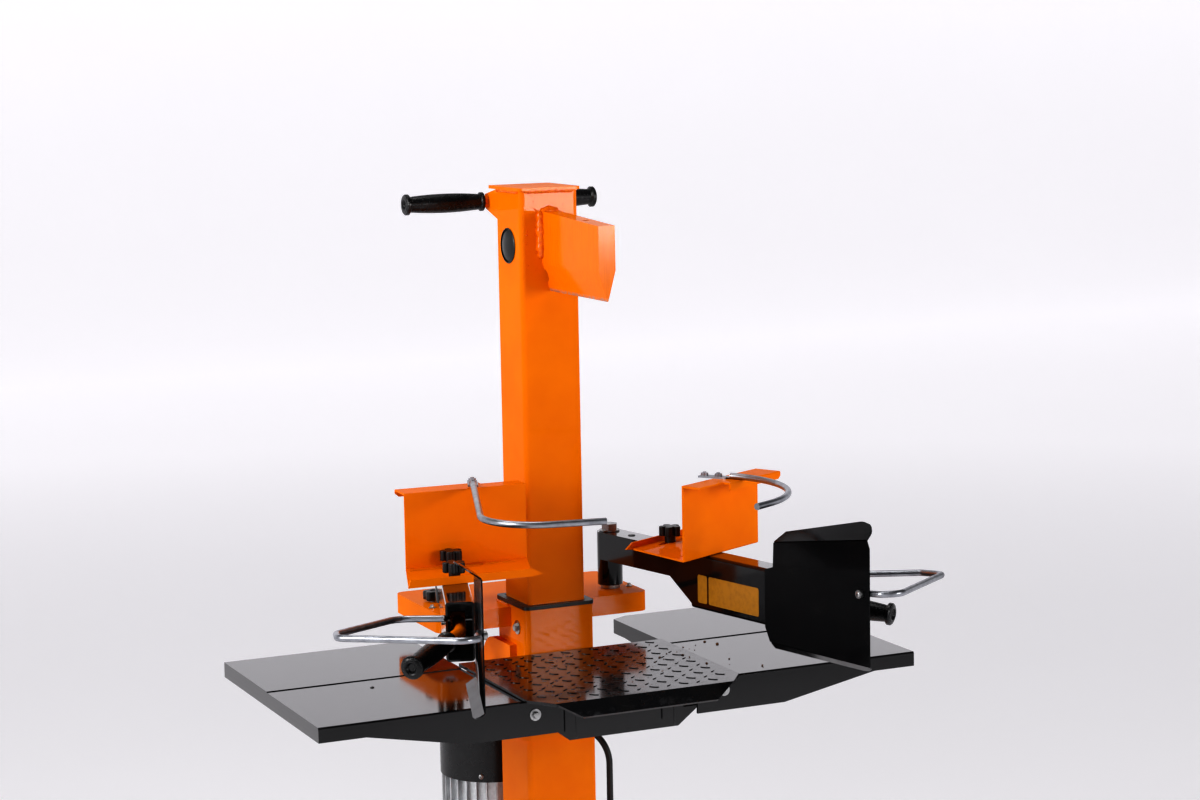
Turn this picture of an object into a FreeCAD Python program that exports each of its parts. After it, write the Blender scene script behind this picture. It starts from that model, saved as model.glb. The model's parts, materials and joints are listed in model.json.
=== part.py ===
import FreeCAD, Part
import math
import os
import re
import Sketcher

from FreeCAD import Placement, Rotation, Vector

# Vertical electro-hydraulic log splitter.
# Origin: on the floor under the column's axis. +Z up, the operator stands at -Y, +X is right.

SIZES = (
    # fixed outer column and base
    ("tube_side", 120), ("tube_wall", 5), ("tube_round", 9), ("tube_top", 866),
    ("base_wide", 460), ("base_deep", 500), ("base_thick", 10), ("anchor_radius", 6.5),
    ("anchor_x", 400), ("anchor_y", 420), ("rib_height", 90), ("rib_thick", 8), ("rib_reach", 110),
    # liner between the two columns
    ("liner_depth", 100), ("liner_flange", 6), ("liner_lip", 123), ("slide_gap", 0.3),
    # sliding inner column
    ("inner_side", 100), ("inner_wall", 5), ("inner_round", 8), ("inner_foot", 560), ("cap_under", 1534),
    ("cap_thick", 5), ("cap_side", 107), ("cap_back", 74), ("pin_height", 1446), ("plug_radius", 27),
    ("plug_hole", 20), ("pin_radius", 12),
    # splitting wedge
    ("wedge_thick", 28), ("wedge_reach", 265), ("wedge_top", 1502), ("wedge_nose", 1490),
    ("wedge_bevel", 1422), ("wedge_edge", 1375), ("wedge_edge_thick", 2),
    # carrying handle
    ("handle_y", 151), ("handle_z", 1508), ("handle_radius", 10), ("handle_half", 168),
    ("grip_inner", 32), ("grip_radius", 14.5), ("grip_flange", 17),
    # hydraulic cylinder
    ("barrel_radius", 35), ("bore_radius", 30), ("barrel_top", 858), ("barrel_foot", 10),
    ("rod_radius", 17.5), ("piston_z", 760), ("piston_tall", 40), ("fit_gap", 0.05),
    # cross member that carries the arms
    ("cross_half", 186), ("cross_back", 200), ("cross_top", 862), ("cross_foot", 830), ("cross_wall", 4),
    ("pivot_x", 145), ("pivot_y", 60), ("pivot_radius", 8), ("boss_radius", 19),
    # control arms
    ("arm_wide", 42), ("arm_foot", 869), ("arm_top", 958), ("arm_wall", 3), ("arm_end", 432),
    ("arm_deep_from", 240), ("arm_neck_foot", 912), ("splay_left", 19), ("splay_right", 12.7),
    # hand guards and hoops
    ("guard_thick", 2), ("guard_from", 440), ("guard_end", 655), ("guard_foot", 846),
    ("guard_rear_top", 1002), ("guard_front_top", 1036), ("hoop_radius", 5), ("hoop_rear_z", 931),
    ("hoop_slope", 0.098),
    # guide plates
    ("guide_long", 200), ("guide_deep", 135), ("guide_skew", 0.3), ("guide_thick", 3), ("panel_tall", 121),
    ("guide_lip", 12), ("flange_deep", 45), ("flange_lip", 12), ("slot_row", 46), ("slot_wide", 9),
    ("guide_left_x", -195), ("guide_left_y", -160), ("guide_left_turn", -2.2),
    ("guide_right_x", 206), ("guide_right_y", -136), ("guide_right_turn", 207),
    ("stud_radius", 4), ("knob_foot", 972), ("knob_tall", 16), ("hook_radius", 5),
    # levers
    ("lever_s", 350), ("lever_z", 914), ("lever_radius", 9), ("lever_pin", 4),
    # table
    ("table_top", 790), ("sheet_thick", 4), ("wing_half", 500), ("wing_inner", 180), ("wing_front", 324),
    ("wing_back", 142), ("crease_y", 80), ("apron_small", 21), ("apron_big", 52), ("rim_fold", 3),
    ("plate_half", 178), ("plate_back", 64), ("plate_side_front", 337), ("plate_bend", 378),
    ("plate_bend_half", 148), ("plate_tip", 397), ("plate_tip_half", 112), ("plate_drop", 20),
    ("grip_pitch", 25), ("plate_thick", 5), ("centre_foot", 714), ("centre_half", 150), ("centre_low_half", 92),
    ("carrier_side", 142), ("carrier_foot", 655), ("carrier_top", 735), ("lug_top", 803),
    # motor, pump, valve, controls
    ("motor_y", 243), ("motor_foot", 300), ("motor_top", 530), ("motor_radius", 80), ("fin_reach", 88),
    ("cover_foot", 526), ("cover_top", 652), ("cover_radius", 90), ("cover_wall", 2.5), ("shaft_radius", 12),
    ("fan_radius", 74), ("pump_foot", 165), ("pump_radius", 52), ("mount_thick", 12),
    ("valve_foot", 180), ("valve_top", 262), ("valve_half", 42), ("spool_radius", 6),
    ("box_x", 174), ("box_y", 140), ("box_foot", 280), ("box_top", 415), ("box_half", 40),
    # wheels
    ("axle_y", 300), ("axle_z", 102), ("axle_radius", 10), ("wheel_radius", 100), ("wheel_inner", 240),
    ("wheel_wide", 42),
)

NAMES = {alias for alias, _ in SIZES}
doc = FreeCAD.newDocument("log_splitter")
sheet = doc.addObject("Spreadsheet::Sheet", "dims")
for row, (alias, size) in enumerate(SIZES, start=1):
    sheet.set(f"A{row}", alias)
    sheet.set(f"B{row}", str(size))
    sheet.setAlias(f"B{row}", alias)
doc.recompute()

SUBPARTS = []
UP = Vector(0, 0, 1)


def val(alias):
    """The number that the sheet holds for a named size."""
    return float(sheet.get(alias))


def ref(text):
    """An expression over the sheet, from words and numbers."""
    return re.sub(r"[a-z]\w*", lambda m: "dims." + m.group() if m.group() in NAMES else m.group(), str(text))


def keep(obj, label, place=None):
    """Name a finished sub-part; its label is its file's name."""
    obj.Label = label
    if place is not None:
        obj.Placement = place
    SUBPARTS.append(obj)
    return obj


def at(obj, corner):
    for axis, text in zip("xyz", corner):
        obj.setExpression("Placement.Base." + axis, ref(text))
    return obj


def box(size, corner):
    obj = doc.addObject("Part::Box", "block")
    for prop, text in zip(("Length", "Width", "Height"), size):
        obj.setExpression(prop, ref(text))
    return at(obj, corner)


TURNS = {"z": Rotation(), "x": Rotation(Vector(0, 1, 0), 90), "y": Rotation(Vector(1, 0, 0), -90)}


def rod(radius, length, base, along="z"):
    obj = doc.addObject("Part::Cylinder", "round")
    obj.setExpression("Radius", ref(radius))
    obj.setExpression("Height", ref(length))
    obj.Placement = Placement(Vector(), TURNS[along])
    return at(obj, base)


def join(*shapes):
    if len(shapes) == 1:
        return shapes[0]
    obj = doc.addObject("Part::MultiFuse", "joined")
    obj.Shapes = list(shapes)
    return obj


def group(*shapes):
    obj = doc.addObject("Part::Compound", "group")
    obj.Links = list(shapes)
    return obj


def cut(base, *tools):
    obj = doc.addObject("Part::Cut", "cut")
    obj.Base = base
    obj.Tool = join(*tools)
    return obj


def solid(shape, name="formed"):
    """A piece whose bent outline is made with Part's own functions."""
    obj = doc.addObject("Part::Feature", name)
    obj.Shape = shape
    return obj


def rounded(base, radius, wanted):
    """Fillet the edges that the test wanted(edge) picks."""
    doc.recompute()
    picked = [(i, radius, radius) for i, edge in enumerate(base.Shape.Edges, start=1) if wanted(edge)]
    obj = doc.addObject("Part::Fillet", "rounded")
    obj.Base = base
    obj.Edges = picked
    return obj


def prism(points, push):
    """Extrude a closed outline of points along a vector."""
    return Part.Face(Part.makePolygon(list(points) + [points[0]])).extrude(push)


def route(points, radii):
    """Straight runs through points, joined by tangent arcs; radii has one entry for each inner point."""
    edges, start = [], points[0]
    for before, corner, after, radius in zip(points, points[1:], points[2:], radii):
        back = (before - corner).normalize()
        ahead = (after - corner).normalize()
        half = back.getAngle(ahead) / 2
        reach = radius / math.tan(half)
        first, last = corner + back * reach, corner + ahead * reach
        middle = corner + (back + ahead).normalize() * (radius / math.sin(half) - radius)
        if (first - start).Length > 1e-6:
            edges.append(Part.LineSegment(start, first).toShape())
        edges.append(Part.Arc(first, middle, last).toShape())
        start = last
    edges.append(Part.LineSegment(start, points[-1]).toShape())
    return Part.Wire(edges)


def bent_rod(points, radii, radius):
    wire = route(points, radii)
    section = Part.Face(Part.Wire(Part.makeCircle(radius, points[0], points[1] - points[0])))
    return wire.makePipe(section)


def origin_plane(body, role):
    return next(f for f in body.Origin.OriginFeatures if f.Role == role)


def centred_rectangle(sketch, wide, deep):
    """Four lines about the sketch's origin, with both sides bound to the sheet."""
    first = sketch.GeometryCount
    corners = [Vector(-9, -9, 0), Vector(9, -9, 0), Vector(9, 9, 0), Vector(-9, 9, 0)]
    for a, b in zip(corners, corners[1:] + corners[:1]):
        sketch.addGeometry(Part.LineSegment(a, b), False)
    for side in range(4):
        sketch.addConstraint(Sketcher.Constraint("Coincident", first + side, 2, first + (side + 1) % 4, 1))
    for side, kind in enumerate(("Horizontal", "Vertical", "Horizontal", "Vertical")):
        sketch.addConstraint(Sketcher.Constraint(kind, first + side))
    sketch.addConstraint(Sketcher.Constraint("Symmetric", first, 1, first + 2, 1, -1, 1))
    for kind, line, text in (("DistanceX", first, wide), ("DistanceY", first + 1, deep)):
        index = sketch.addConstraint(Sketcher.Constraint(kind, line, 1, line, 2, 18.0))
        sketch.setExpression(f"Constraints[{index}]", ref(text))


def square_body(label, rectangles, length, base_z, round_radius):
    """A PartDesign body: centred rectangles padded upward, with its four long outer edges rounded."""
    body = doc.addObject("PartDesign::Body", "body")
    profile = body.newObject("Sketcher::SketchObject", "profile")
    profile.AttachmentSupport = [(origin_plane(body, "XY_Plane"), "")]
    profile.MapMode = "FlatFace"
    for wide, deep in rectangles:
        centred_rectangle(profile, wide, deep)
    pad = body.newObject("PartDesign::Pad", "pad")
    pad.Profile = profile
    pad.setExpression("Length", ref(length))
    doc.recompute()
    half = max(abs(v.X) for v in pad.Shape.Vertexes)
    names = [f"Edge{i}" for i, e in enumerate(pad.Shape.Edges, start=1)
             if abs(e.tangentAt(e.FirstParameter).z) > 0.99 and abs(abs(e.Vertexes[0].X) - half) < 1e-6]
    fillet = body.newObject("PartDesign::Fillet", "fillet")
    fillet.Base = (pad, names)
    fillet.setExpression("Radius", ref(round_radius))
    body.Tip = fillet
    at(body, ("0", "0", base_z))
    return body


# ---------------------------------------------------------------- fixed column and base

def base_frame():
    body = doc.addObject("PartDesign::Body", "base")
    profile = body.newObject("Sketcher::SketchObject", "outline")
    profile.AttachmentSupport = [(origin_plane(body, "XY_Plane"), "")]
    profile.MapMode = "FlatFace"
    centred_rectangle(profile, "base_wide", "base_deep")
    pad = body.newObject("PartDesign::Pad", "pad")
    pad.Profile = profile
    pad.setExpression("Length", ref("base_thick"))
    doc.recompute()
    corners = [f"Edge{i}" for i, e in enumerate(pad.Shape.Edges, start=1)
               if abs(e.tangentAt(e.FirstParameter).z) > 0.99]
    fillet = body.newObject("PartDesign::Fillet", "corner_rounds")
    fillet.Base = (pad, corners)
    fillet.Radius = 30
    body.Tip = fillet
    holes = [rod("anchor_radius", "base_thick + 2", (f"{sx} * anchor_x / 2", f"{sy} * anchor_y / 2", "-1"))
             for sx in (-1, 1) for sy in (-1, 1)]
    ears = [box(("8", "130", "120"), (f"{x}", "190", "base_thick")) for x in (-216, 208)]
    ears = [rounded(ear, 40, lambda e: abs(e.tangentAt(e.FirstParameter).x) > 0.99
                    and e.Vertexes[0].Z > 100 and e.Vertexes[0].Y > 300) for ear in ears]
    bores = rod("axle_radius", "500", ("-250", "axle_y", "axle_z"), "x")
    ribs = []
    high, reach, half = val("rib_height"), val("rib_reach"), val("tube_side") / 2
    thick, foot = val("rib_thick"), val("base_thick")
    for turn in (0, 90, 180, 270):
        for side in (-1, 1):
            outline = [Vector(half, side * 40, foot), Vector(half + reach, side * 40, foot),
                       Vector(half + reach, side * 40, foot + 12), Vector(half, side * 40, foot + high)]
            rib = prism(outline, Vector(0, side * thick, 0))
            rib.rotate(Vector(), UP, turn)
            ribs.append(solid(rib, "rib"))
    return keep(cut(join(body, *ears, *ribs), bores, *holes), "base_frame")


def outer_column():
    tube = square_body("tube", (("tube_side", "tube_side"), ("tube_side - 2 * tube_wall",) * 2),
                       "tube_top - base_thick", "base_thick", "tube_round")
    ports = [rod("11", "12", ("0", "tube_side / 2 - 8", "240"), "y"),
             rod("11", "12", ("0", "tube_side / 2 - 8", "620"), "y")]
    return keep(cut(tube, *ports), "outer_column")


def column_liner():
    inside = "inner_side + 2 * slide_gap"
    outside = "tube_side - 2 * tube_wall - 0.2"
    sleeve = box((outside, outside, "liner_depth + liner_flange"),
                 (f"-({outside}) / 2", f"-({outside}) / 2", "tube_top - liner_depth"))
    collar = box(("liner_lip", "liner_lip", "liner_flange"), ("-liner_lip / 2", "-liner_lip / 2", "tube_top"))
    collar = rounded(collar, 9, lambda e: abs(e.tangentAt(e.FirstParameter).z) > 0.99)
    hollow = box((inside, inside, "liner_depth + 40"),
                 (f"-({inside}) / 2", f"-({inside}) / 2", "tube_top - liner_depth - 20"))
    return keep(cut(join(sleeve, collar), hollow), "column_liner")


def arm_crossmember():
    """Channel round the column's back that both arms pivot on: top plate with a rim bent down."""
    outer = box(("2 * cross_half", "cross_back", "cross_top - cross_foot"),
                ("-cross_half", "0", "cross_foot"))
    outer = rounded(outer, 16, lambda e: abs(e.tangentAt(e.FirstParameter).z) > 0.99)
    inside = box(("2 * cross_half - 2 * cross_wall", "cross_back - 2 * cross_wall",
                  "cross_top - cross_foot - cross_wall"),
                 ("-cross_half + cross_wall", "cross_wall", "cross_foot"))
    inside = rounded(inside, 12, lambda e: abs(e.tangentAt(e.FirstParameter).z) > 0.99)
    notch = box(("tube_side", "tube_side / 2 + 10", "80"), ("-tube_side / 2", "-10", "cross_foot - 20"))
    cheeks = [box(("cross_wall", "cross_back - cross_wall - 8", "cross_top - cross_foot - 2"),
                  (x, "cross_wall", "cross_foot"))
              for x in ("-tube_side / 2 - cross_wall", "tube_side / 2")]
    bores = [rod("pivot_radius", "60", (f"{side} * pivot_x", "pivot_y", "cross_foot - 10"))
             for side in (-1, 1)]
    return keep(cut(join(cut(outer, inside), *cheeks), notch, *bores), "arm_crossmember")


def arm_pivot_bolts():
    """A shouldered bolt through each arm's boss and the cross member, with a washer and nut below."""
    bolts = []
    for side in (-1, 1):
        centre = (f"{side} * pivot_x", "pivot_y")
        head = doc.addObject("Part::Prism", "hex")
        head.Polygon = 6
        head.Circumradius = 14
        head.Height = 10
        at(head, (*centre, "arm_top + 2.6"))
        nut = doc.addObject("Part::Prism", "hex")
        nut.Polygon = 6
        nut.Circumradius = 14
        nut.Height = 12
        at(nut, (*centre, "cross_top - cross_wall - 15.4"))
        bolts.append(join(rod("pivot_radius - fit_gap", "arm_top - cross_foot - 4", (*centre, "cross_foot + 8")),
                          rod("17", "2", (*centre, "arm_top + 0.6")), head, nut,
                          rod("16", "3", (*centre, "cross_top - cross_wall - 3.4")),
                          rod("16", "arm_foot - cross_top - 0.6", (*centre, "cross_top + 0.3"))))
    return keep(group(*bolts), "arm_pivot_bolts")


def table_carrier():
    """Sleeve round the column with two curved hooks that the table hangs on."""
    sleeve = box(("carrier_side", "carrier_side", "carrier_top - carrier_foot"),
                 ("-carrier_side / 2", "-carrier_side / 2", "carrier_foot"))
    sleeve = rounded(sleeve, 14, lambda e: abs(e.tangentAt(e.FirstParameter).z) > 0.99)
    hole = box(("tube_side", "tube_side", "300"), ("-tube_side / 2", "-tube_side / 2", "carrier_foot - 50"))
    lugs = []
    for x in ("-tube_side / 2 - 12", "tube_side / 2"):
        lug = box(("12", "116", "lug_top - carrier_top + 20"), (x, "-20", "carrier_top - 20"))
        lugs.append(rounded(lug, 44, lambda e: abs(e.tangentAt(e.FirstParameter).x) > 0.99
                            and e.Vertexes[0].Z > 790 and e.Vertexes[0].Y > 50))
    return keep(join(cut(sleeve, hole), *lugs), "table_carrier")


# ---------------------------------------------------------------- table

def table_wing(side, label):
    """Pressed sheet wing: flat top, a step at the crease, aprons bent down on its four edges."""
    top, thick = val("table_top"), val("sheet_thick")
    inner, outer, front, back = val("wing_inner"), val("wing_half"), -val("wing_front"), val("wing_back")
    small, big, crease = val("apron_small"), val("apron_big"), -val("crease_y")

    def flat(points, z, rise):
        return prism([Vector(side * x, y, z) for x, y in points], Vector(0, 0, rise))

    sheet_top = flat([(inner, front), (outer, front), (outer, back), (inner + 29, back), (inner, back - 16)],
                     top - thick, thick)
    raised = flat([(inner, crease), (outer, crease), (outer, back), (inner + 29, back), (inner, back - 16)],
                  top, 1.2)
    front_edge = [(inner - 67, big), (inner + 85, big), (inner + 247, small), (outer, small), (outer, 0),
                  (inner - 67, 0)]
    front_corners = [Vector(side * x, front, top - 2 - drop) for x, drop in front_edge]
    front_apron = prism(front_corners, Vector(0, thick, 0))
    back_apron = prism([Vector(side * x, back, top - 2 - drop) for x, drop in
                        ((inner + 29, small), (outer, small), (outer, 0), (inner + 29, 0))], Vector(0, -thick, 0))
    end_apron = prism([Vector(side * outer, y, top - 2 - drop) for y, drop in
                       ((front, small), (back, small), (back, 0), (front, 0))], Vector(-side * thick, 0, 0))
    inner_apron = prism([Vector(side * inner, y, top - 2 - drop) for y, drop in
                         ((front, big), (back - 60, small), (back - 16, small), (back - 16, 0), (front, 0))],
                        Vector(side * thick, 0, 0))
    shape = sheet_top.multiFuse([raised, front_apron, back_apron, end_apron, inner_apron]).removeSplitter()
    bends = [e for e in shape.Edges
             if all(abs(v.Z - top) < 1e-6 and abs(v.Y - front) < 1e-6 for v in e.Vertexes)]
    return keep(solid(shape.makeFillet(val("rim_fold"), bends)), label)


def table_centre_frame():
    """Folded box under the splitting plate; its lower corners are cut away."""
    top = val("table_top")
    wide, low, foot, wall = val("centre_half"), val("centre_low_half"), val("centre_foot"), val("sheet_thick")
    front, back = -val("wing_front") + 26, -val("tube_side") / 2 - 12.5

    def section(w, l, f, t, y, length):
        points = [(-w, t), (w, t), (w, f + 44), (l, f), (-l, f), (-w, f + 44)]
        return prism([Vector(x, y, z) for x, z in points], Vector(0, length, 0))

    outer = section(wide, low, foot, top - 0.3, front, back - front)
    inner = section(wide - wall, low - wall, foot - 1, top - wall - 0.3, front + wall,
                    back - front - 2 * wall)
    tabs = [box(("30", "wing_front - 60 - 12", "sheet_thick"), (x, "-wing_front + 4.2", "table_top - 12"))
            for x in ("-wing_inner + 0.2", "wing_inner - 30.2")]
    shell = solid(outer.cut(inner), "folded_box")
    struts = [box(("14", "116", "26"), (x, "-74", "742")) for x in ("-86.5", "72.5")]
    return keep(join(shell, *tabs, *struts), "table_centre_frame")


def splitting_plate():
    """Tread plate on the table's centre, with a front lip bent down and raised tear-shaped grips."""
    top, thick = val("table_top") + val("plate_thick"), val("plate_thick")
    half, back, side_front = val("plate_half"), -val("plate_back"), -val("plate_side_front")
    bend, bend_half = -val("plate_bend"), val("plate_bend_half")
    tip, tip_half, drop = -val("plate_tip"), val("plate_tip_half"), val("plate_drop")
    outline = [(-half, back), (half, back), (half, side_front), (bend_half, bend), (-bend_half, bend),
               (-half, side_front)]
    flat = prism([Vector(x, y, top) for x, y in outline], Vector(0, 0, -thick))
    fall = Vector(0, bend - tip, drop).cross(Vector(1, 0, 0)).normalize() * thick
    lip = prism([Vector(-bend_half, bend, top), Vector(bend_half, bend, top), Vector(tip_half, tip, top - drop),
                 Vector(-tip_half, tip, top - drop)], fall if fall.z < 0 else fall * -1)
    plate = flat.fuse(lip)
    pitch, high, bow, offset = val("grip_pitch"), 1.1, 16.5, 14.6
    lens = Part.makeCylinder(bow, high, Vector(0, -offset, 0)).common(
        Part.makeCylinder(bow, high, Vector(0, offset, 0)))
    grips = []
    for row in range(int((back - bend - 16) // pitch) + 1):
        for column in range(-6, 7):
            x, y = column * pitch, back - 14 - row * pitch
            if abs(x) > half - 10 or (y < side_front and abs(x) > bend_half - 20):
                continue
            grip = lens.copy()
            grip.rotate(Vector(), UP, 45 if (row + column) % 2 else -45)
            grip.translate(Vector(x, y, top - 0.1))
            grips.append(grip)
    return keep(solid(plate.multiFuse(grips)), "splitting_plate")


# ---------------------------------------------------------------- sliding ram

def inner_column():
    tube = square_body("ram", (("inner_side", "inner_side"), ("inner_side - 2 * inner_wall",) * 2),
                       "cap_under - inner_foot", "inner_foot", "inner_round")
    holes = rod("plug_hole", "inner_side + 20", ("-inner_side / 2 - 10", "0", "pin_height"), "x")
    return keep(cut(tube, holes), "inner_column")


def cap_plate():
    plate = box(("cap_side", "cap_side / 2 + cap_back", "cap_thick"),
                ("-cap_side / 2", "-cap_side / 2", "cap_under"))
    return keep(rounded(plate, 6, lambda e: abs(e.tangentAt(e.FirstParameter).z) > 0.99), "cap_plate")


def splitting_wedge():
    """Blade welded to the inner column's front; its lower edge is ground to a taper."""
    half, edge = val("wedge_thick") / 2, val("wedge_edge_thick") / 2
    root, nose = -val("inner_side") / 2, -val("wedge_reach")
    tall = prism([Vector(-half, root, val("wedge_edge")), Vector(-half, nose, val("wedge_edge")),
                  Vector(-half, nose, val("wedge_nose")), Vector(-half, root, val("wedge_top"))],
                 Vector(2 * half, 0, 0))
    profile = [(-half, val("wedge_top") + 1), (half, val("wedge_top") + 1), (half, val("wedge_bevel")),
               (edge, val("wedge_edge")), (-edge, val("wedge_edge")), (-half, val("wedge_bevel"))]
    blade = tall.common(prism([Vector(x, root, z) for x, z in profile], Vector(0, nose - root, 0)))
    relief = Part.makeCylinder(10, 2 * half + 2, Vector(-half - 1, root, val("wedge_bevel") - 22),
                               Vector(1, 0, 0))
    lifting_hole = Part.makeCylinder(6, 60, Vector(0, -190, val("wedge_nose") - 30))
    return keep(solid(blade.cut(relief).cut(lifting_hole)), "splitting_wedge")


def column_plugs():
    """Domed plastic caps over the pin's ends, one on each side face."""
    plugs = []
    for side in (-1, 1):
        dome = doc.addObject("Part::Sphere", "dome")
        dome.Radius = 64
        at(dome, (f"{side} * (inner_side / 2 + 6 - 64)", "0", "pin_height"))
        shell = doc.addObject("Part::Common", "cap")
        shell.Base = dome
        start = "inner_side / 2 + 0.1" if side > 0 else "-inner_side / 2 - 0.1 - 10"
        shell.Tool = rod("plug_radius", "10", (start, "0", "pin_height"), "x")
        neck = "inner_side / 2 - inner_wall + 0.3" if side > 0 else "-inner_side / 2 - 0.5"
        plugs.append(join(shell, rod("plug_hole - 0.3", "inner_wall + 0.2", (neck, "0", "pin_height"), "x")))
    return keep(group(*plugs), "column_plugs")


def carry_handle():
    """Cross bar behind the column's head on two welded cheeks."""
    bar = rod("handle_radius", "2 * handle_half - 12", ("-handle_half + 6", "handle_y", "handle_z"), "x")
    cheeks = []
    for x in (-24, 18):
        outline = [(50, 1532), (50, 1470), (70, 1470), (val("handle_y") + 4, val("handle_z") - 12),
                   (val("handle_y") + 12, val("handle_z")), (val("handle_y") + 6, val("handle_z") + 12),
                    (90, 1533.6)]
        cheeks.append(solid(prism([Vector(x, y, z) for y, z in outline], Vector(6, 0, 0)), "cheek"))
    return keep(join(bar, *cheeks), "carry_handle")


def grip_shape(length, radius, flange, bore):
    """Barrel-shaped rubber sleeve along +X from the origin, with a collar, an end flange and a dished end."""
    neck, belly = radius - 1.8, radius + 1.2
    outline = [Vector(), Vector(0, flange - 1.5, 0), Vector(4, flange - 1.5, 0), Vector(6, neck, 0)]
    crown = [Vector(length - 9, neck, 0), Vector(length - 6, flange, 0), Vector(length - 1.5, flange, 0),
             Vector(length, flange - 1.5, 0), Vector(length, 0, 0), Vector()]
    edges = [Part.makeLine(p, q) for p, q in zip(outline, outline[1:])]
    edges.append(Part.Arc(outline[-1], Vector(length / 2, belly, 0), crown[0]).toShape())
    edges += [Part.makeLine(p, q) for p, q in zip(crown, crown[1:])]
    sleeve = Part.Face(Part.Wire(edges)).revolve(Vector(), Vector(1, 0, 0), 360)
    bored = sleeve.cut(Part.makeCylinder(bore, length - 4, Vector(-1, 0, 0), Vector(1, 0, 0)))
    return bored.cut(Part.makeCone(5.5, 7.5, 2.4, Vector(length - 2.4, 0, 0), Vector(1, 0, 0)))


def top_grip(side, label):
    length = val("handle_half") - val("grip_inner")
    shape = grip_shape(length, val("grip_radius"), val("grip_flange"), val("handle_radius"))
    turn = Rotation(UP, 0 if side > 0 else 180)
    spot = Vector(side * val("grip_inner"), val("handle_y"), val("handle_z"))
    return keep(solid(shape), label, Placement(spot, turn))


def piston_rod():
    """Rod that reaches from the cross pin down to the piston, with a bored eye at its top."""
    shank = rod("rod_radius", "pin_height - piston_z - piston_tall", ("0", "0", "piston_z + piston_tall"))
    spigot = rod("12", "piston_tall + 10", ("0", "0", "piston_z"))
    eye = rod("28", "36", ("-18", "0", "pin_height"), "x")
    hole = rod("pin_radius + fit_gap", "60", ("-30", "0", "pin_height"), "x")
    return keep(cut(join(shank, spigot, eye), hole), "piston_rod")


def piston():
    head = rod("bore_radius - fit_gap", "piston_tall", ("0", "0", "piston_z"))
    grooves = []
    for z in (8, 26):
        grooves.append(cut(rod("bore_radius + 2", "5", ("0", "0", f"piston_z + {z}")),
                           rod("bore_radius - 3", "7", ("0", "0", f"piston_z + {z} - 1"))))
    return keep(cut(head, rod("12", "piston_tall + 2", ("0", "0", "piston_z - 1")), *grooves), "piston")


def rod_pin():
    return keep(rod("pin_radius", "inner_side - 2 * inner_wall - 1",
                    ("-(inner_side - 2 * inner_wall - 1) / 2", "0", "pin_height"), "x"), "rod_pin")


def cylinder_barrel():
    tube = rod("barrel_radius", "barrel_top - barrel_foot", ("0", "0", "barrel_foot"))
    bore = rod("bore_radius", "barrel_top - barrel_foot - 50", ("0", "0", "barrel_foot + 20"))
    throat = rod("rod_radius + fit_gap", "60", ("0", "0", "barrel_top - 40"))
    return keep(cut(tube, bore, throat), "cylinder_barrel")


# ---------------------------------------------------------------- arms

def arm_place(side):
    splay = val("splay_left") if side < 0 else val("splay_right")
    spot = Vector(side * val("pivot_x"), val("pivot_y"), 0)
    return Placement(spot, Rotation(UP, -90 + side * splay))


def stud_reach(side):
    """Where the guide plate's two slot rows cross the arm's centre line, measured from the pivot."""
    word = "left" if side < 0 else "right"
    centre = Vector(val(f"guide_{word}_x"), val(f"guide_{word}_y"), 0)
    turn = math.radians(val(f"guide_{word}_turn"))
    normal = Vector(-math.sin(turn), math.cos(turn), 0)
    place = arm_place(side)
    ahead = place.Rotation.multVec(Vector(1, 0, 0))
    rows = (val("slot_row"), -val("slot_row"))
    return sorted((row + (centre - place.Base).dot(normal)) / ahead.dot(normal) for row in rows)


def arm_beam(side, label):
    """Box-section arm: a shallow neck with the pivot boss, then a deep open-ended box for the lever."""
    half, wall = val("arm_wide") / 2, val("arm_wall")
    foot, top, neck = val("arm_foot"), val("arm_top"), val("arm_neck_foot")
    end, deep = val("arm_end"), val("arm_deep_from")
    block = Part.makeBox(end - deep, 2 * half, top - foot, Vector(deep, -half, foot))
    long_edges = [e for e in block.Edges if abs(e.tangentAt(e.FirstParameter).x) > 0.99]
    block = block.makeFillet(5, long_edges)
    hollow = Part.makeBox(end - deep, 2 * (half - wall), top - foot - 2 * wall,
                          Vector(deep + wall, -half + wall, foot + wall))
    inner_edges = [e for e in hollow.Edges if abs(e.tangentAt(e.FirstParameter).x) > 0.99]
    hollow = hollow.makeFillet(2.5, inner_edges)
    slope_corners = [(deep - 55, neck), (deep + 6, foot + 3), (deep + 6, top), (deep - 55, top)]
    slope = prism([Vector(x, -half, z) for x, z in slope_corners], Vector(0, 2 * half, 0))
    stem = Part.makeBox(deep - 50, 2 * half, top - neck, Vector(0, -half, neck))
    trough = Part.makeBox(deep - 84, 2 * (half - wall), top - neck - wall, Vector(30, -half + wall, neck - 1))
    boss = Part.makeCylinder(val("boss_radius") + 2, top - foot, Vector(0, 0, foot))
    shape = block.cut(hollow).multiFuse([slope.cut(hollow), stem.cut(trough), boss])
    shape = shape.cut(Part.makeCylinder(val("pivot_radius") + 0.05, 200, Vector(0, 0, foot - 50)))
    for reach in stud_reach(side):
        shape = shape.cut(Part.makeCylinder(val("stud_radius"), 60, Vector(reach, 0, top - 40)))
        shape = shape.cut(Part.makeCylinder(9, 7, Vector(reach, 0, top - wall - 7)))
    pin_hole = Part.makeCylinder(val("lever_pin"), 100, Vector(val("lever_s"), -50, val("lever_z")),
                                 Vector(0, 1, 0))
    return keep(solid(shape.cut(pin_hole).removeSplitter()), label, arm_place(side))


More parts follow.
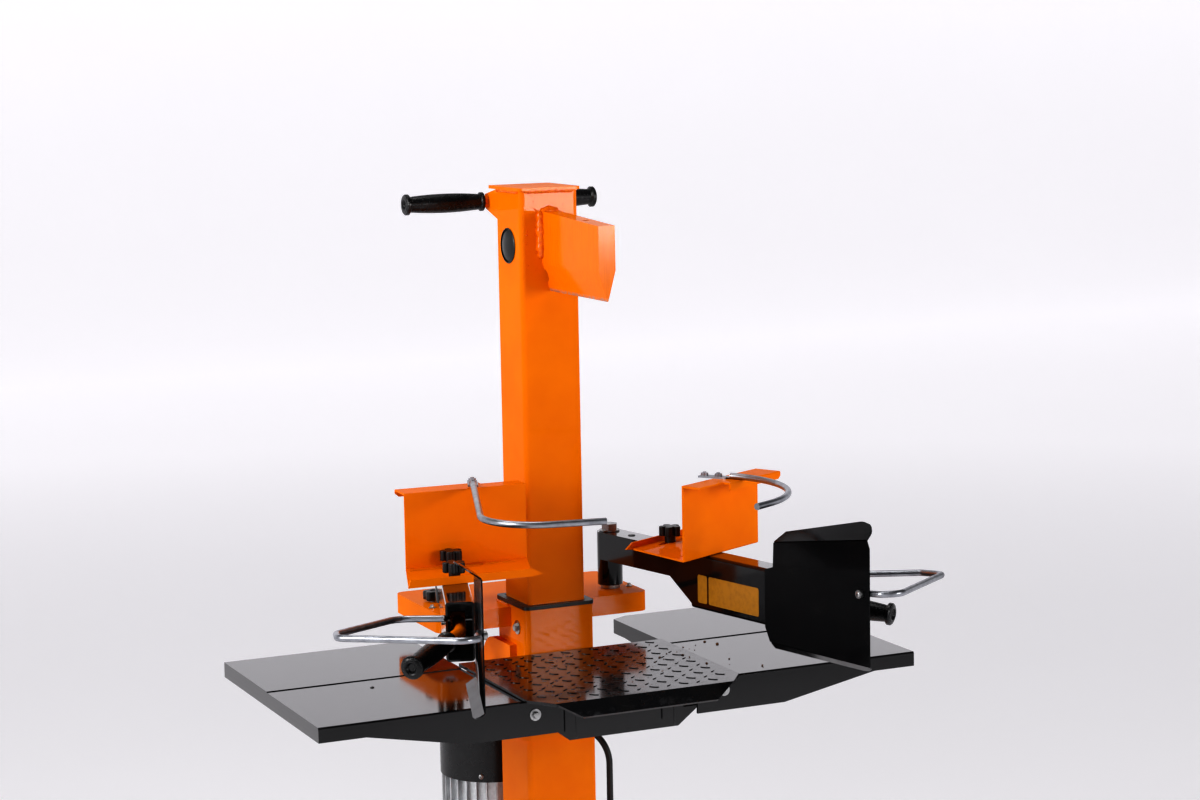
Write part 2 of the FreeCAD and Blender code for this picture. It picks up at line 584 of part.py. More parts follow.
def arm_bolts(side, label):
    """Guide studs, the lever's pin and the screws of the guard and hoop."""
    inner, half = -side, val("arm_wide") / 2
    pieces = []
    for reach in stud_reach(side):
        top = val("arm_top")
        stud = Part.makeCylinder(val("stud_radius"), 35, Vector(reach, 0, top - 9))
        head = Part.makeCylinder(8, 5, Vector(reach, 0, top - val("arm_wall") - 5.2))
        pieces.append(stud.fuse(head))
    pin_root = Vector(val("lever_s"), -inner * half, val("lever_z"))
    pin = Part.makeCylinder(val("lever_pin"), 2 * half - 0.3, pin_root, Vector(0, inner, 0))
    pin_head = Part.makeCylinder(7, 3.5, pin_root, Vector(0, -inner, 0))
    pieces.append(pin.fuse(pin_head))
    thick = val("guard_thick")
    face = half + 0.2 + thick
    hoop_z = val("hoop_rear_z") + (637 - 415) * val("hoop_slope")
    cap = Part.makeCylinder(6.5, 5, Vector(637, inner * face, hoop_z), Vector(0, inner, 0))
    pieces.append(cap)
    return keep(solid(Part.makeCompound(pieces)), label, arm_place(side))


def hand_guard(side, label):
    """Sheet between hand and log: a mounting tab, a tall panel, an upper flange and a lower flap."""
    inner, thick = -side, val("guard_thick")
    face = inner * (val("arm_wide") / 2 + 0.2)
    foot, rear_top, front_top = val("guard_foot"), val("guard_rear_top"), val("guard_front_top")
    start, end = val("guard_from"), val("guard_end")
    rear, front_corner = start - 19, 14
    outline = [(rear + 11, foot), (end, foot), (end, front_top - front_corner), (end - 5, front_top - 2),
               (start + 2, rear_top), (start, 964), (rear, 958), (rear, foot + 22)]
    panel = prism([Vector(s, face, z) for s, z in outline], Vector(0, inner * thick, 0))

    def leaf(hinge, out, rise, insets, rear_share, radius):
        """A flat flap bent off the panel's edge, with its front corner rounded off."""
        a, b = [Vector(s, face, z) for s, z in hinge]
        along = (b - a).normalize()
        across = Vector(0, -inner * out, rise)
        unit = along.cross(across).normalize()
        crown = [b + across * up - along * insets[1] * back for up, back in ((0.4, 0.1), (0.8, 0.45), (1, 1))]
        corners = [a, b, *crown, a + across * rear_share + along * insets[0]]
        sheet = prism(corners, unit * (thick if out * inner * rise < 0 else -thick))
        edges = [e for e in sheet.Edges if abs(e.tangentAt(e.FirstParameter).dot(unit)) > 0.99
                 and min((v.Point - c).Length for v in e.Vertexes for c in crown) < 0.01]
        return sheet.makeFillet(radius, edges)

    flange = leaf(((start + 2, rear_top), (end - 5, front_top - 2)), 36, 24, (6, 48), 0.55, 30)
    flap = leaf(((rear + 13, foot), (end, foot)), 15, -12, (-8, 30), 1, 12)
    return keep(solid(panel.multiFuse([flange, flap]).removeSplitter()), label, arm_place(side))


def guard_hoop(side, label):
    """Bent rod round the operator's hand, from the guard's face to the arm's outer wall."""
    inner = -side
    plan = ((637, 15.4), (672, 15.4), (694, -2), (604, -178), (556, -180), (402, -92), (420, -22.3))
    points = [Vector(s, inner * o, val("hoop_rear_z") + (s - 415) * val("hoop_slope")) for s, o in plan]
    shape = bent_rod(points, (14, 18, 20, 20, 30), val("hoop_radius"))
    pad = Part.makeCylinder(8, 6, Vector(637, inner * 20.9, points[0].z), Vector(0, -inner, 0))
    return keep(solid(shape.fuse(pad).removeSplitter()), label, arm_place(side))


def guide_place(side, rise=0.3):
    word = "left" if side < 0 else "right"
    spot = Vector(val(f"guide_{word}_x"), val(f"guide_{word}_y"), val("arm_top") + rise)
    return Placement(spot, Rotation(UP, val(f"guide_{word}_turn")))


def guide_plate(side, label):
    """Folded guide that steadies the log: slotted skewed base, toothed lip, panel and top flange."""
    long_half, deep, skew = val("guide_long") / 2, val("guide_deep") / 2, val("guide_skew")
    thick, tall, lip = val("guide_thick"), val("panel_tall"), val("guide_lip")
    base = prism([Vector(-long_half + skew * deep, deep, 0), Vector(long_half + skew * deep, deep, 0),
                  Vector(long_half - skew * deep, -deep, 0), Vector(-long_half - skew * deep, -deep, 0)],
                 Vector(0, 0, thick))
    left, right = -long_half - skew * deep, long_half - skew * deep
    toothed = prism([Vector(left, -deep, 0), Vector(right, -deep, 0), Vector(right + 17, -deep, 3),
                     Vector(right, -deep, lip), Vector(left + 4, -deep, lip)], Vector(0, thick, 0))
    left, right = -long_half + skew * deep, long_half + skew * deep
    panel = prism([Vector(left, deep, 0), Vector(right, deep, 0), Vector(right, deep, tall),
                   Vector(left, deep, tall)], Vector(0, -thick, 0))
    reach = deep + val("flange_deep")
    flange = prism([Vector(left, deep - thick, tall - thick), Vector(right, deep - thick, tall - thick),
                    Vector(right, reach - 14, tall - thick), Vector(right - 62, reach - 14, tall - thick),
                    Vector(right - 62, reach, tall - thick), Vector(left, reach, tall - thick)],
                   Vector(0, 0, thick))
    fold = prism([Vector(left, reach, tall), Vector(right - 64, reach, tall), Vector(right - 64, reach, tall - 12),
                  Vector(left + 6, reach, tall - 12), Vector(left, reach, tall - 7)], Vector(0, -thick, 0))
    shape = base.multiFuse([toothed, panel, flange, fold])
    bends = [e for e in shape.Edges if abs(e.tangentAt(e.FirstParameter).x) > 0.99
             and e.BoundBox.YMin > deep - 0.01 and e.BoundBox.YMax < deep + 0.01 and e.BoundBox.ZMax < 0.01]
    bends += [e for e in shape.Edges if abs(e.tangentAt(e.FirstParameter).x) > 0.99
              and abs(e.BoundBox.YMin - reach) < 0.01 and e.BoundBox.ZMin > tall - 0.01
              and e.BoundBox.XLength > 100]
    shape = shape.makeFillet(2.5, bends)
    width, row = val("slot_wide"), val("slot_row")
    for start, end, y in ((-76, 36, row), (48, 92, row), (-95, 30, -row)):
        slot = Part.makeBox(end - start, width, 20, Vector(start, y - width / 2, -8))
        for x in (start, end):
            slot = slot.fuse(Part.makeCylinder(width / 2, 20, Vector(x, y, -8)))
        shape = shape.cut(slot)
    return keep(solid(shape.removeSplitter()), label, guide_place(side))


def log_hook(side, label):
    """Bent rod screwed on the guide's flange, which reaches round the front of the log."""
    radius = val("hook_radius")
    z = val("arm_top") + 0.3 + val("panel_tall") + radius
    if side < 0:
        points = [Vector(-142, -50, z), Vector(-288.8, -456, z), Vector(-112, -490, z)]
        bend, screws = 86, ((-137, -62), (-144, -80))
    else:
        points = [Vector(197, -191, z), Vector(343, -376, z), Vector(129, -495.8, z)]
        bend, screws = 180, ((196, -196), (209, -212))
    shape = bent_rod(points, (bend,), radius)
    ahead = (points[1] - points[0]).normalize()
    across = Vector(-ahead.y, ahead.x, 0)
    start = points[0] - ahead * 8
    flat = prism([start + across * 8, start + ahead * 48 + across * 8, start + ahead * 48 - across * 8,
                  start - across * 8], Vector(0, 0, 3))
    flat.translate(Vector(0, 0, -radius))
    pieces = [flat]
    for along in (8, 32):
        spot = start + ahead * along
        pieces.append(Part.makeCylinder(6, 4, Vector(spot.x, spot.y, z - radius + 3)))
        pieces.append(Part.makeCylinder(3, 6, Vector(spot.x, spot.y, z - radius + 3)))
    flat_zone = Part.makeBox(56, 30, 30, Vector(-10, -15, -radius + 3))
    flat_zone.Placement = Placement(points[0], Rotation(Vector(1, 0, 0), ahead)).multiply(flat_zone.Placement)
    shape = shape.cut(flat_zone).multiFuse(pieces)
    return keep(solid(shape.removeSplitter()), label)


def star_knob(side, index, label):
    """Five-lobed clamping knob on a guide stud."""
    body = Part.makeCylinder(11, val("knob_tall"), Vector())
    lobes = []
    for lobe in range(5):
        turn = math.radians(72 * lobe + 18)
        lobes.append(Part.makeCylinder(6, val("knob_tall"), Vector(12 * math.cos(turn), 12 * math.sin(turn), 0)))
    shape = body.multiFuse(lobes).removeSplitter()
    rims = [e for e in shape.Edges if e.BoundBox.ZLength < 0.01]
    shape = shape.makeFillet(1.5, rims)
    rise = val("knob_foot") - val("arm_top") - 0.6 - val("guide_thick")
    hub = Part.makeCylinder(9, rise, Vector(0, 0, -rise))
    shape = shape.fuse(hub).cut(Part.makeCylinder(val("stud_radius") + 0.05, rise + 14, Vector(0, 0, -rise)))
    place = arm_place(side)
    spot = place.multVec(Vector(stud_reach(side)[index], 0, val("knob_foot")))
    return keep(solid(shape), label, Placement(spot, Rotation()))


def lever_points(side):
    inner = -side
    s, z = val("lever_s"), val("lever_z")
    return [Vector(s, 0, z), Vector(441, 0, z + 1), Vector(592, -inner * 73, z - 12)]


def control_lever(side, label):
    """Steel lever pivoted in the arm's box and bent outward to the operator's hand."""
    points = lever_points(side)
    shape = bent_rod(points, (40,), val("lever_radius"))
    eye = Part.makeCylinder(13, 22, points[0] - Vector(0, 11, 0), Vector(0, 1, 0))
    bore = Part.makeCylinder(val("lever_pin") + 0.05, 60, points[0] - Vector(0, 30, 0), Vector(0, 1, 0))
    return keep(solid(shape.fuse(eye).cut(bore).removeSplitter()), label, arm_place(side))


def lever_grip(side, label):
    points = lever_points(side)
    ahead = (points[2] - points[1]).normalize()
    length = 128
    shape = grip_shape(length, val("grip_radius"), val("grip_flange"), val("lever_radius"))
    start = points[2] - ahead * (length - 8)
    local = Placement(start, Rotation(Vector(1, 0, 0), ahead))
    return keep(solid(shape), label, arm_place(side).multiply(local))


# ---------------------------------------------------------------- power unit

def motor_housing():
    """Finned aluminium motor body, standing on its flange."""
    body = rod("motor_radius", "motor_top - motor_foot", ("0", "motor_y", "motor_foot"))
    flange = rod("fin_reach", "14", ("0", "motor_y", "motor_foot"))
    fins = []
    for index in range(30):
        fin = Part.makeBox(val("fin_reach") - 70, 3, val("motor_top") - val("motor_foot") - 14,
                           Vector(70, -1.5, val("motor_foot") + 10))
        fin.rotate(Vector(), UP, index * 12)
        fin.translate(Vector(0, val("motor_y"), 0))
        fins.append(fin)
    finned = solid(fins[0].multiFuse(fins[1:]), "fins")
    bore = rod("shaft_radius + 0.05", "400", ("0", "motor_y", "motor_foot - 50"))
    return keep(cut(join(body, flange, finned), bore), "motor_housing")


def fan_cover():
    """Pressed cover over the motor's fan, with a ring of air slots in its top."""
    shell = rod("cover_radius", "cover_top - cover_foot", ("0", "motor_y", "cover_foot"))
    shell = rounded(shell, 10, lambda e: e.BoundBox.ZMin > 650)
    inside = rod("fin_reach + 0.2", "cover_top - cover_foot - cover_wall", ("0", "motor_y", "cover_foot"))
    inside = rounded(inside, 8, lambda e: e.BoundBox.ZMin > 640)
    slots = []
    for index in range(12):
        slot = Part.makeBox(40, 7, 12, Vector(24, -3.5, val("cover_top") - 8))
        slot.rotate(Vector(), UP, index * 30)
        slot.translate(Vector(0, val("motor_y"), 0))
        slots.append(slot)
    return keep(cut(shell, inside, solid(slots[0].multiFuse(slots[1:]), "slots")), "fan_cover")


def motor_rotor():
    """Shaft from the pump's drive to the fan."""
    shaft = rod("shaft_radius", "cover_top - pump_foot - 60", ("0", "motor_y", "pump_foot + 40"))
    hub = rod("24", "22", ("0", "motor_y", "motor_top + 30"))
    disc = rod("fan_radius", "3", ("0", "motor_y", "motor_top + 30"))
    blades = []
    for index in range(9):
        blade = Part.makeBox(48, 3, 24, Vector(22, -1.5, val("motor_top") + 32))
        blade.rotate(Vector(), UP, index * 40)
        blade.translate(Vector(0, val("motor_y"), 0))
        blades.append(blade)
    return keep(join(shaft, hub, disc, solid(blades[0].multiFuse(blades[1:]), "blades")), "motor_rotor")


def terminal_box():
    block = box(("54", "84", "92"), ("76", "motor_y - 42", "365"))
    block = rounded(block, 6, lambda e: e.BoundBox.XMin > 75.9 and e.BoundBox.XMax > 100)
    seat = rod("fin_reach + 0.1", "300", ("0", "motor_y", "330"))
    gland = join(rod("12", "10", ("106", "motor_y", "456")), rod("9", "12", ("106", "motor_y", "465")))
    bore = rod("5.6", "16", ("106", "motor_y", "462"))
    return keep(join(cut(block, seat), cut(gland, bore)), "terminal_box")


def pump_mount():
    """Shelf welded to the column's back; the motor stands on it and the pump hangs below."""
    shelf = box(("190", "275", "mount_thick"), ("-95", "tube_side / 2", "motor_foot - mount_thick"))
    shelf = rounded(shelf, 30,
                    lambda e: abs(e.tangentAt(e.FirstParameter).z) > 0.99 and e.Vertexes[0].Y > 300)
    gussets = []
    for x in (-84, 76):
        outline = [(60, 288), (60, 262), (72, 262), (230, 288)]
        gussets.append(solid(prism([Vector(x, y, z) for y, z in outline], Vector(8, 0, 0)), "gusset"))
    hole = rod("shaft_radius + 6", "60", ("0", "motor_y", "motor_foot - 40"))
    return keep(cut(join(shelf, *gussets), hole), "pump_mount")


def gear_pump():
    body = rod("pump_radius", "motor_foot - mount_thick - pump_foot", ("0", "motor_y", "pump_foot"))
    block = box(("80", "80", "60"), ("-40", "motor_y - 40", "pump_foot + 20"))
    port = rod("13", "28", ("-68", "motor_y", "pump_foot + 50"), "x")
    bore = rod("shaft_radius + 0.05", "200", ("0", "motor_y", "pump_foot + 38"))
    return keep(cut(join(body, block, port), bore), "gear_pump")


def valve_block():
    """Control valve on the column's back, with the spool's bore through its top."""
    block = box(("2 * valve_half", "52", "valve_top - valve_foot"),
                ("-valve_half", "tube_side / 2 + 2", "valve_foot"))
    block = rounded(block, 4, lambda e: abs(e.tangentAt(e.FirstParameter).z) > 0.99)
    boss = rod("10", "10", ("0", "tube_side / 2 - 4", "240"), "y")
    port = rod("13", "20", ("-valve_half - 20", "tube_side / 2 + 30", "valve_foot + 45"), "x")
    bore = rod("spool_radius + fit_gap", "100", ("20", "tube_side / 2 + 30", "valve_foot + 20"))
    return keep(cut(join(block, boss, port), bore), "valve_block")


def valve_spool():
    stem = rod("spool_radius", "50", ("20", "tube_side / 2 + 30", "valve_top - 46"))
    head = rod("11", "6", ("20", "tube_side / 2 + 30", "valve_top + 4"))
    return keep(join(stem, head), "valve_spool")


def pressure_hose():
    """Hose from the pump's outlet round to the valve."""
    pump_z, valve_z = val("pump_foot") + 50, val("valve_foot") + 45
    valve_y = val("tube_side") / 2 + 30
    points = [Vector(-68.0, val("motor_y"), pump_z), Vector(-132, val("motor_y"), pump_z),
              Vector(-140, 172, (pump_z + valve_z) / 2), Vector(-132, valve_y, valve_z),
              Vector(-val("valve_half") - 20.0, valve_y, valve_z)]
    return keep(solid(bent_rod(points, (34, 200, 34), 8)), "pressure_hose")


def oil_filler_cap():
    neck = rod("10.5", "12", ("0", "tube_side / 2 - 4", "620"), "y")
    cap = rod("20", "16", ("0", "tube_side / 2 + 8", "620"), "y")
    return keep(join(neck, rounded(cap, 3, lambda e: e.BoundBox.YMin > 83.9)), "oil_filler_cap")


def switch_box():
    """No-volt switch on a bracket at the column's right, with button wells and an appliance inlet below."""
    case = box(("2 * box_half", "70", "box_top - box_foot"), ("box_x - box_half", "box_y - 35", "box_foot"))
    case = rounded(case, 8, lambda e: abs(e.tangentAt(e.FirstParameter).y) > 0.99)
    bracket = join(box(("box_x - box_half - 47.5 + 6", "5", "46"), ("tube_side / 2 - 0", "box_y + 35", "318")),
                   box(("5", "box_y + 40 - 40", "46"), ("tube_side / 2", "40", "318")))
    gland = rod("10", "14", ("box_x", "box_y", "box_top"))
    inlet = rod("24", "26", ("box_x", "box_y", "box_foot - 26"))
    well = rod("19.5", "24", ("box_x", "box_y", "box_foot - 30"))
    pins = [rod("2.4", "22", (f"box_x + {dx}", f"box_y + {dy}", "box_foot - 20"))
            for dx, dy in ((-9, -4), (9, -4), (0, 10))]
    wells = [rod("13", "8", ("box_x", "box_y - 36", f"box_foot + {z}"), "y") for z in (45, 85)]
    bore = rod("5.6", "12", ("box_x", "box_y", "box_top + 4"))
    return keep(join(cut(join(case, gland, inlet), well, bore, *wells), *pins, bracket), "switch_box")


def push_button(z, label):
    return keep(rod("12.6", "9", ("box_x", "box_y - 41", f"box_foot + {z}"), "y"), label)


# along the lead from the motor's box towards the switch box, then height
LEAD = ((0, 467), (0, 592), (123.42, 592), (123.42, 427))


def motor_lead():
    """Supply lead that arches from the motor's terminal box to the switch box."""
    start = Vector(106, val("motor_y"), 0)
    towards = (Vector(val("box_x"), val("box_y"), 0) - start).normalize()
    points = [start + towards * reach + Vector(0, 0, height) for reach, height in LEAD]
    radii = []
    for a, b, c in zip(points, points[1:], points[2:]):
        turn = math.pi - (a - b).getAngle(c - b)
        radii.append(0.45 * min((a - b).Length, (c - b).Length) / math.tan(turn / 2))
    print("lead bend radii", [round(r) for r in radii])
    return keep(solid(bent_rod(points, radii, 5.5)), "motor_lead")


# ---------------------------------------------------------------- wheels and fasteners

def wheel_axle():
    return keep(rod("axle_radius", "2 * wheel_inner + 2 * wheel_wide + 16",
                    ("-wheel_inner - wheel_wide - 8", "axle_y", "axle_z"), "x"), "wheel_axle")


def wheel(side, label):
    """Moulded wheel with a rubber tyre, dished disc and spokes."""
    inner = val("wheel_inner")
    x = inner if side > 0 else -inner - val("wheel_wide")
    start = (str(x), "axle_y", "axle_z")
    tyre = rod("wheel_radius", "wheel_wide", start, "x")
    tyre = rounded(tyre, 12, lambda e: True)
    dish = [cut(rod("74", "13", (str(x + shift), "axle_y", "axle_z"), "x"),
                rod("24", "15", (str(x + shift - 1), "axle_y", "axle_z"), "x"))
            for shift in (-1, val("wheel_wide") - 12)]
    lights = [rod("12", "80", (str(x - 20), f"axle_y + {50 * math.cos(math.radians(a)):.3f}",
                               f"axle_z + {50 * math.sin(math.radians(a)):.3f}"), "x") for a in range(0, 360, 60)]
    bore = rod("axle_radius + 0.05", "80", (str(x - 20), "axle_y", "axle_z"), "x")
    return keep(cut(tyre, *dish, *lights, bore), label)


def hex_bolt(spot, direction, across, height):
    """Washer and hex head, seated at spot and standing out along direction."""
    washer = Part.makeCylinder(across * 0.95, 1.6)
    outline = [Vector(across * 0.58 * math.cos(math.radians(a)),
                      across * 0.58 * math.sin(math.radians(a)), 1.6)
               for a in range(0, 360, 60)]
    taper = Part.makeCone(across * 0.7, across * 0.45, height, Vector(0, 0, 1.6))
    head = prism(outline, Vector(0, 0, height)).common(taper)
    bolt = washer.fuse(head)
    bolt.Placement = Placement(spot, Rotation(UP, direction))
    return bolt


def frame_bolts():
    half = val("tube_side") / 2
    bolts = [hex_bolt(Vector(side * half, -26, 833), Vector(side, 0, 0), 12, 5) for side in (-1, 1)]
    front = -val("wing_front")
    bolts += [hex_bolt(Vector(side * 159, front, 768), Vector(0, -1, 0), 9.5, 5) for side in (-1, 1)]
    for turn in (45, 135, 225, 315):
        spot = Vector(79 * math.cos(math.radians(turn)), val("motor_y") + 79 * math.sin(math.radians(turn)),
                      val("motor_foot") - val("mount_thick"))
        bolts.append(hex_bolt(spot, Vector(0, 0, -1), 10, 5))
    return keep(solid(Part.makeCompound(bolts)), "frame_bolts")


base_frame()
outer_column()
column_liner()
arm_crossmember()
arm_pivot_bolts()
table_carrier()
for hand, word in ((-1, "left"), (1, "right")):
    table_wing(hand, word + "_table_wing")
table_centre_frame()
splitting_plate()
frame_bolts()
inner_column()
cap_plate()
splitting_wedge()
column_plugs()
carry_handle()
piston_rod()
piston()
rod_pin()
cylinder_barrel()
for hand, word in ((-1, "left"), (1, "right")):
    top_grip(hand, word + "_top_grip")
    arm_beam(hand, word + "_arm_beam")
    arm_bolts(hand, word + "_arm_bolts")
    hand_guard(hand, word + "_hand_guard")
    guard_hoop(hand, word + "_guard_hoop")
    guide_plate(hand, word + "_guide_plate")
    log_hook(hand, word + "_log_hook")
    star_knob(hand, 0, word + "_rear_knob")
    star_knob(hand, 1, word + "_front_knob")
    control_lever(hand, word + "_lever")
    lever_grip(hand, word + "_lever_grip")
    wheel(hand, word + "_wheel")
motor_housing()
fan_cover()
motor_rotor()
terminal_box()
pump_mount()
gear_pump()
valve_block()
valve_spool()
pressure_hose()
oil_filler_cap()
switch_box()
push_button(45, "stop_button")
push_button(85, "start_button")
motor_lead()
wheel_axle()

doc.recompute()
faults = [obj.Label for obj in doc.Objects if {"Invalid", "Error"} & set(obj.State)]
faults += [obj.Label for obj in SUBPARTS if obj.Shape.isNull() or not obj.Shape.isValid() or not obj.Shape.Solids]
if faults:
    raise RuntimeError("failed objects: " + ", ".join(faults))
os.makedirs("parts", exist_ok=True)
for obj in SUBPARTS:
    obj.Shape.exportStep(os.path.join("parts", obj.Label + ".step"))
print(len(SUBPARTS), "sub-parts written")
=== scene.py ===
"""Looks of an upright log splitter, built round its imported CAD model. Metres, +Z up, operator at -Y."""

import json
import math

import bmesh
import bpy
from mathutils import Matrix, Vector

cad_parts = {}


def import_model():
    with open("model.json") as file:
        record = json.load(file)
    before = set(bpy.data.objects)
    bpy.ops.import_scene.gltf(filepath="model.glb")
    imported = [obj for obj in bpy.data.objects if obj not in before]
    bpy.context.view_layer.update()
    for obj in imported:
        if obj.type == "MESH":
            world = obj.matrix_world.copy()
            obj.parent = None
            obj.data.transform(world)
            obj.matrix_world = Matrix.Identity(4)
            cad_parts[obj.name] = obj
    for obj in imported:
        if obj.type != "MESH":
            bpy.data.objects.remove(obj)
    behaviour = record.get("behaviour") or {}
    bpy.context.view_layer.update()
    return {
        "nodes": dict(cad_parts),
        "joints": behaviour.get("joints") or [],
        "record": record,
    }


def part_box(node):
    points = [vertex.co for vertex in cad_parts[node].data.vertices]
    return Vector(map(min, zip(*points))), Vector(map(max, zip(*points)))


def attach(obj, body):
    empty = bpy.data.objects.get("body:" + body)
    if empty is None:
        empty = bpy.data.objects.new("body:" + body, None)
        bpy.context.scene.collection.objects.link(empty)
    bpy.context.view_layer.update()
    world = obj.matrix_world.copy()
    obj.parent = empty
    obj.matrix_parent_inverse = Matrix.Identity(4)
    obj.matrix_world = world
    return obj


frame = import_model()
NODES = frame["nodes"]

ORANGE = (0.82, 0.190, 0.0003, 1)
DEEP_ORANGE = (0.76, 0.162, 0.0002, 1)
BLACK = (0.005, 0.005, 0.0055, 1)
ZINC = (0.44, 0.44, 0.44, 1)
RANGE_INPUTS = ("From Min", "From Max", "To Min", "To Max")


# ---------------------------------------------------------------- node helpers

class Shader:
    """A material with a Principled shader, and short calls for the textures that feed it."""

    def __init__(self, name, **values):
        self.material = bpy.data.materials.new(name)
        self.material.use_nodes = True
        self.tree = self.material.node_tree
        self.principled = self.tree.nodes["Principled BSDF"]
        self.place = self.add("ShaderNodeTexCoord").outputs["Object"]
        for key, value in values.items():
            self.principled.inputs[key.replace("_", " ")].default_value = value

    def add(self, kind, **settings):
        node = self.tree.nodes.new(kind)
        for key, value in settings.items():
            setattr(node, key, value)
        return node

    def link(self, source, target):
        self.tree.links.new(source, target)

    def noise(self, scale, detail=4, rough=0.55, stretch=None):
        """Noise over the object's own coordinates; stretch scales each axis."""
        node = self.add("ShaderNodeTexNoise")
        node.inputs["Scale"].default_value = scale
        node.inputs["Detail"].default_value = detail
        node.inputs["Roughness"].default_value = rough
        place = self.place
        if stretch:
            mapping = self.add("ShaderNodeMapping")
            mapping.inputs["Scale"].default_value = stretch
            self.link(place, mapping.inputs["Vector"])
            place = mapping.outputs["Vector"]
        self.link(place, node.inputs["Vector"])
        return node.outputs["Fac"]

    def cells(self, scale):
        """Distance to the nearest of many scattered points."""
        node = self.add("ShaderNodeTexVoronoi")
        node.inputs["Scale"].default_value = scale
        self.link(self.place, node.inputs["Vector"])
        return node.outputs["Distance"]

    def spread(self, source, low, high, out_low=0.0, out_high=1.0):
        """Map low..high of a value to out_low..out_high."""
        node = self.add("ShaderNodeMapRange")
        for key, value in zip(RANGE_INPUTS, (low, high, out_low, out_high)):
            node.inputs[key].default_value = value
        self.link(source, node.inputs["Value"])
        return node.outputs["Result"]

    def multiply(self, a, b):
        node = self.add("ShaderNodeMath", operation="MULTIPLY")
        self.link(a, node.inputs[0])
        self.link(b, node.inputs[1])
        return node.outputs["Value"]

    def mix(self, factor, a, b):
        """Blend two colours; either may be a fixed colour or a socket."""
        node = self.add("ShaderNodeMix", data_type="RGBA")
        self.link(factor, node.inputs["Factor"])
        for socket, value in ((node.inputs[6], a), (node.inputs[7], b)):
            if isinstance(value, tuple):
                socket.default_value = value
            else:
                self.link(value, socket)
        return node.outputs[2]

    def edges(self, low, high):
        """Worn edges, from how pointed the mesh is."""
        return self.spread(self.add("ShaderNodeNewGeometry").outputs["Pointiness"], low, high)

    def colour(self, source):
        self.link(source, self.principled.inputs["Base Color"])
        return self

    def rough(self, source, low, high, out_low, out_high):
        self.link(self.spread(source, low, high, out_low, out_high), self.principled.inputs["Roughness"])
        return self

    def bump(self, source, strength, distance):
        node = self.add("ShaderNodeBump")
        node.inputs["Strength"].default_value = strength
        node.inputs["Distance"].default_value = distance
        self.link(source, node.inputs["Height"])
        self.link(node.outputs["Normal"], self.principled.inputs["Normal"])
        return self


# ---------------------------------------------------------------- materials

def orange_paint():
    s = Shader("orange_powder_coat", Coat_Weight=0.2, Coat_Roughness=0.06, Specular_IOR_Level=0)
    tone = s.mix(s.spread(s.noise(9, 3), 0.35, 0.7), ORANGE, DEEP_ORANGE)
    dust = s.spread(s.noise(420, 5, 0.7), 0.68, 0.78, 0, 0.35)
    tone = s.mix(dust, tone, (0.55, 0.20, 0.06, 1))
    s.colour(tone).rough(s.noise(35, 6, 0.65), 0.3, 0.75, 0.24, 0.42)
    return s.bump(s.noise(650, 3, 0.5), 0.22, 0.00035).material


def wedge_paint():
    """The same coat over ground steel: upright grinding marks and thin, chipped paint on the edge."""
    s = Shader("wedge_powder_coat", Coat_Weight=0.4, Coat_Roughness=0.12, Specular_IOR_Level=0)
    streaks = s.noise(60, 4, 0.7, stretch=(9, 9, 0.35))
    tone = s.mix(s.spread(streaks, 0.4, 0.65), ORANGE, DEEP_ORANGE)
    place = s.add("ShaderNodeSeparateXYZ")
    s.link(s.place, place.inputs["Vector"])
    near_edge = s.spread(place.outputs["Z"], 1.381, 1.3755)
    chips = s.multiply(near_edge, s.spread(s.noise(160, 6, 0.75), 0.42, 0.56))
    tone = s.mix(chips, tone, (0.36, 0.345, 0.33, 1))
    s.link(chips, s.principled.inputs["Metallic"])
    s.colour(tone).rough(streaks, 0.3, 0.7, 0.26, 0.46)
    return s.bump(streaks, 0.8, 0.0012).material


def gloss_black(name, low, high, dust_amount, coat=0.35):
    """Black gloss coat with settled dust and fine scuffs."""
    s = Shader(name, Coat_Weight=coat, Coat_Roughness=0.07, Specular_IOR_Level=0.1)
    dust = s.spread(s.multiply(s.noise(14, 5, 0.65), s.noise(300, 6, 0.8)), 0.27, 0.42, 0, dust_amount)
    tone = s.mix(dust, BLACK, (0.07, 0.06, 0.05, 1))
    scuffs = s.noise(24, 8, 0.6)
    s.colour(tone).rough(scuffs, 0.35, 0.7, low, high)
    return s.bump(s.noise(520, 3), 0.16, 0.0003).material


def tread_steel():
    """Painted tread plate whose raised grips are rubbed back, with bark dust between them."""
    s = Shader("painted_tread_plate", Coat_Weight=0.7, Coat_Roughness=0.09, Specular_IOR_Level=0.1)
    worn = s.multiply(s.edges(0.58, 0.68), s.spread(s.noise(40, 5, 0.7), 0.52, 0.72, 0, 0.7))
    grime = s.spread(s.noise(22, 6, 0.7), 0.5, 0.8, 0, 0.5)
    tone = s.mix(grime, (0.006, 0.006, 0.007, 1), (0.022, 0.017, 0.013, 1))
    tone = s.mix(worn, tone, (0.22, 0.22, 0.23, 1))
    s.link(worn, s.principled.inputs["Metallic"])
    crumbs = s.spread(s.cells(260), 0.05, 0.12, 1, 0)
    crumbs = s.multiply(crumbs, s.spread(s.noise(30, 3), 0.55, 0.62))
    tone = s.mix(crumbs, tone, (0.22, 0.11, 0.045, 1))
    s.colour(tone).rough(s.noise(60, 5, 0.7), 0.3, 0.7, 0.16, 0.3)
    return s.bump(s.noise(330, 4, 0.6), 0.05, 0.0002).material


def plated(name, colour, rough_low, rough_high):
    """Zinc plate: bright metal, clouded by handling, with a fine grain."""
    s = Shader(name, Metallic=1.0)
    clouds = s.noise(45, 6, 0.65)
    dull = tuple(c * 0.62 for c in colour[:3]) + (1,)
    s.colour(s.mix(s.spread(clouds, 0.42, 0.72), colour, dull))
    s.rough(clouds, 0.3, 0.75, rough_low, rough_high)
    return s.bump(s.noise(700, 3, 0.6), 0.2, 0.0002).material


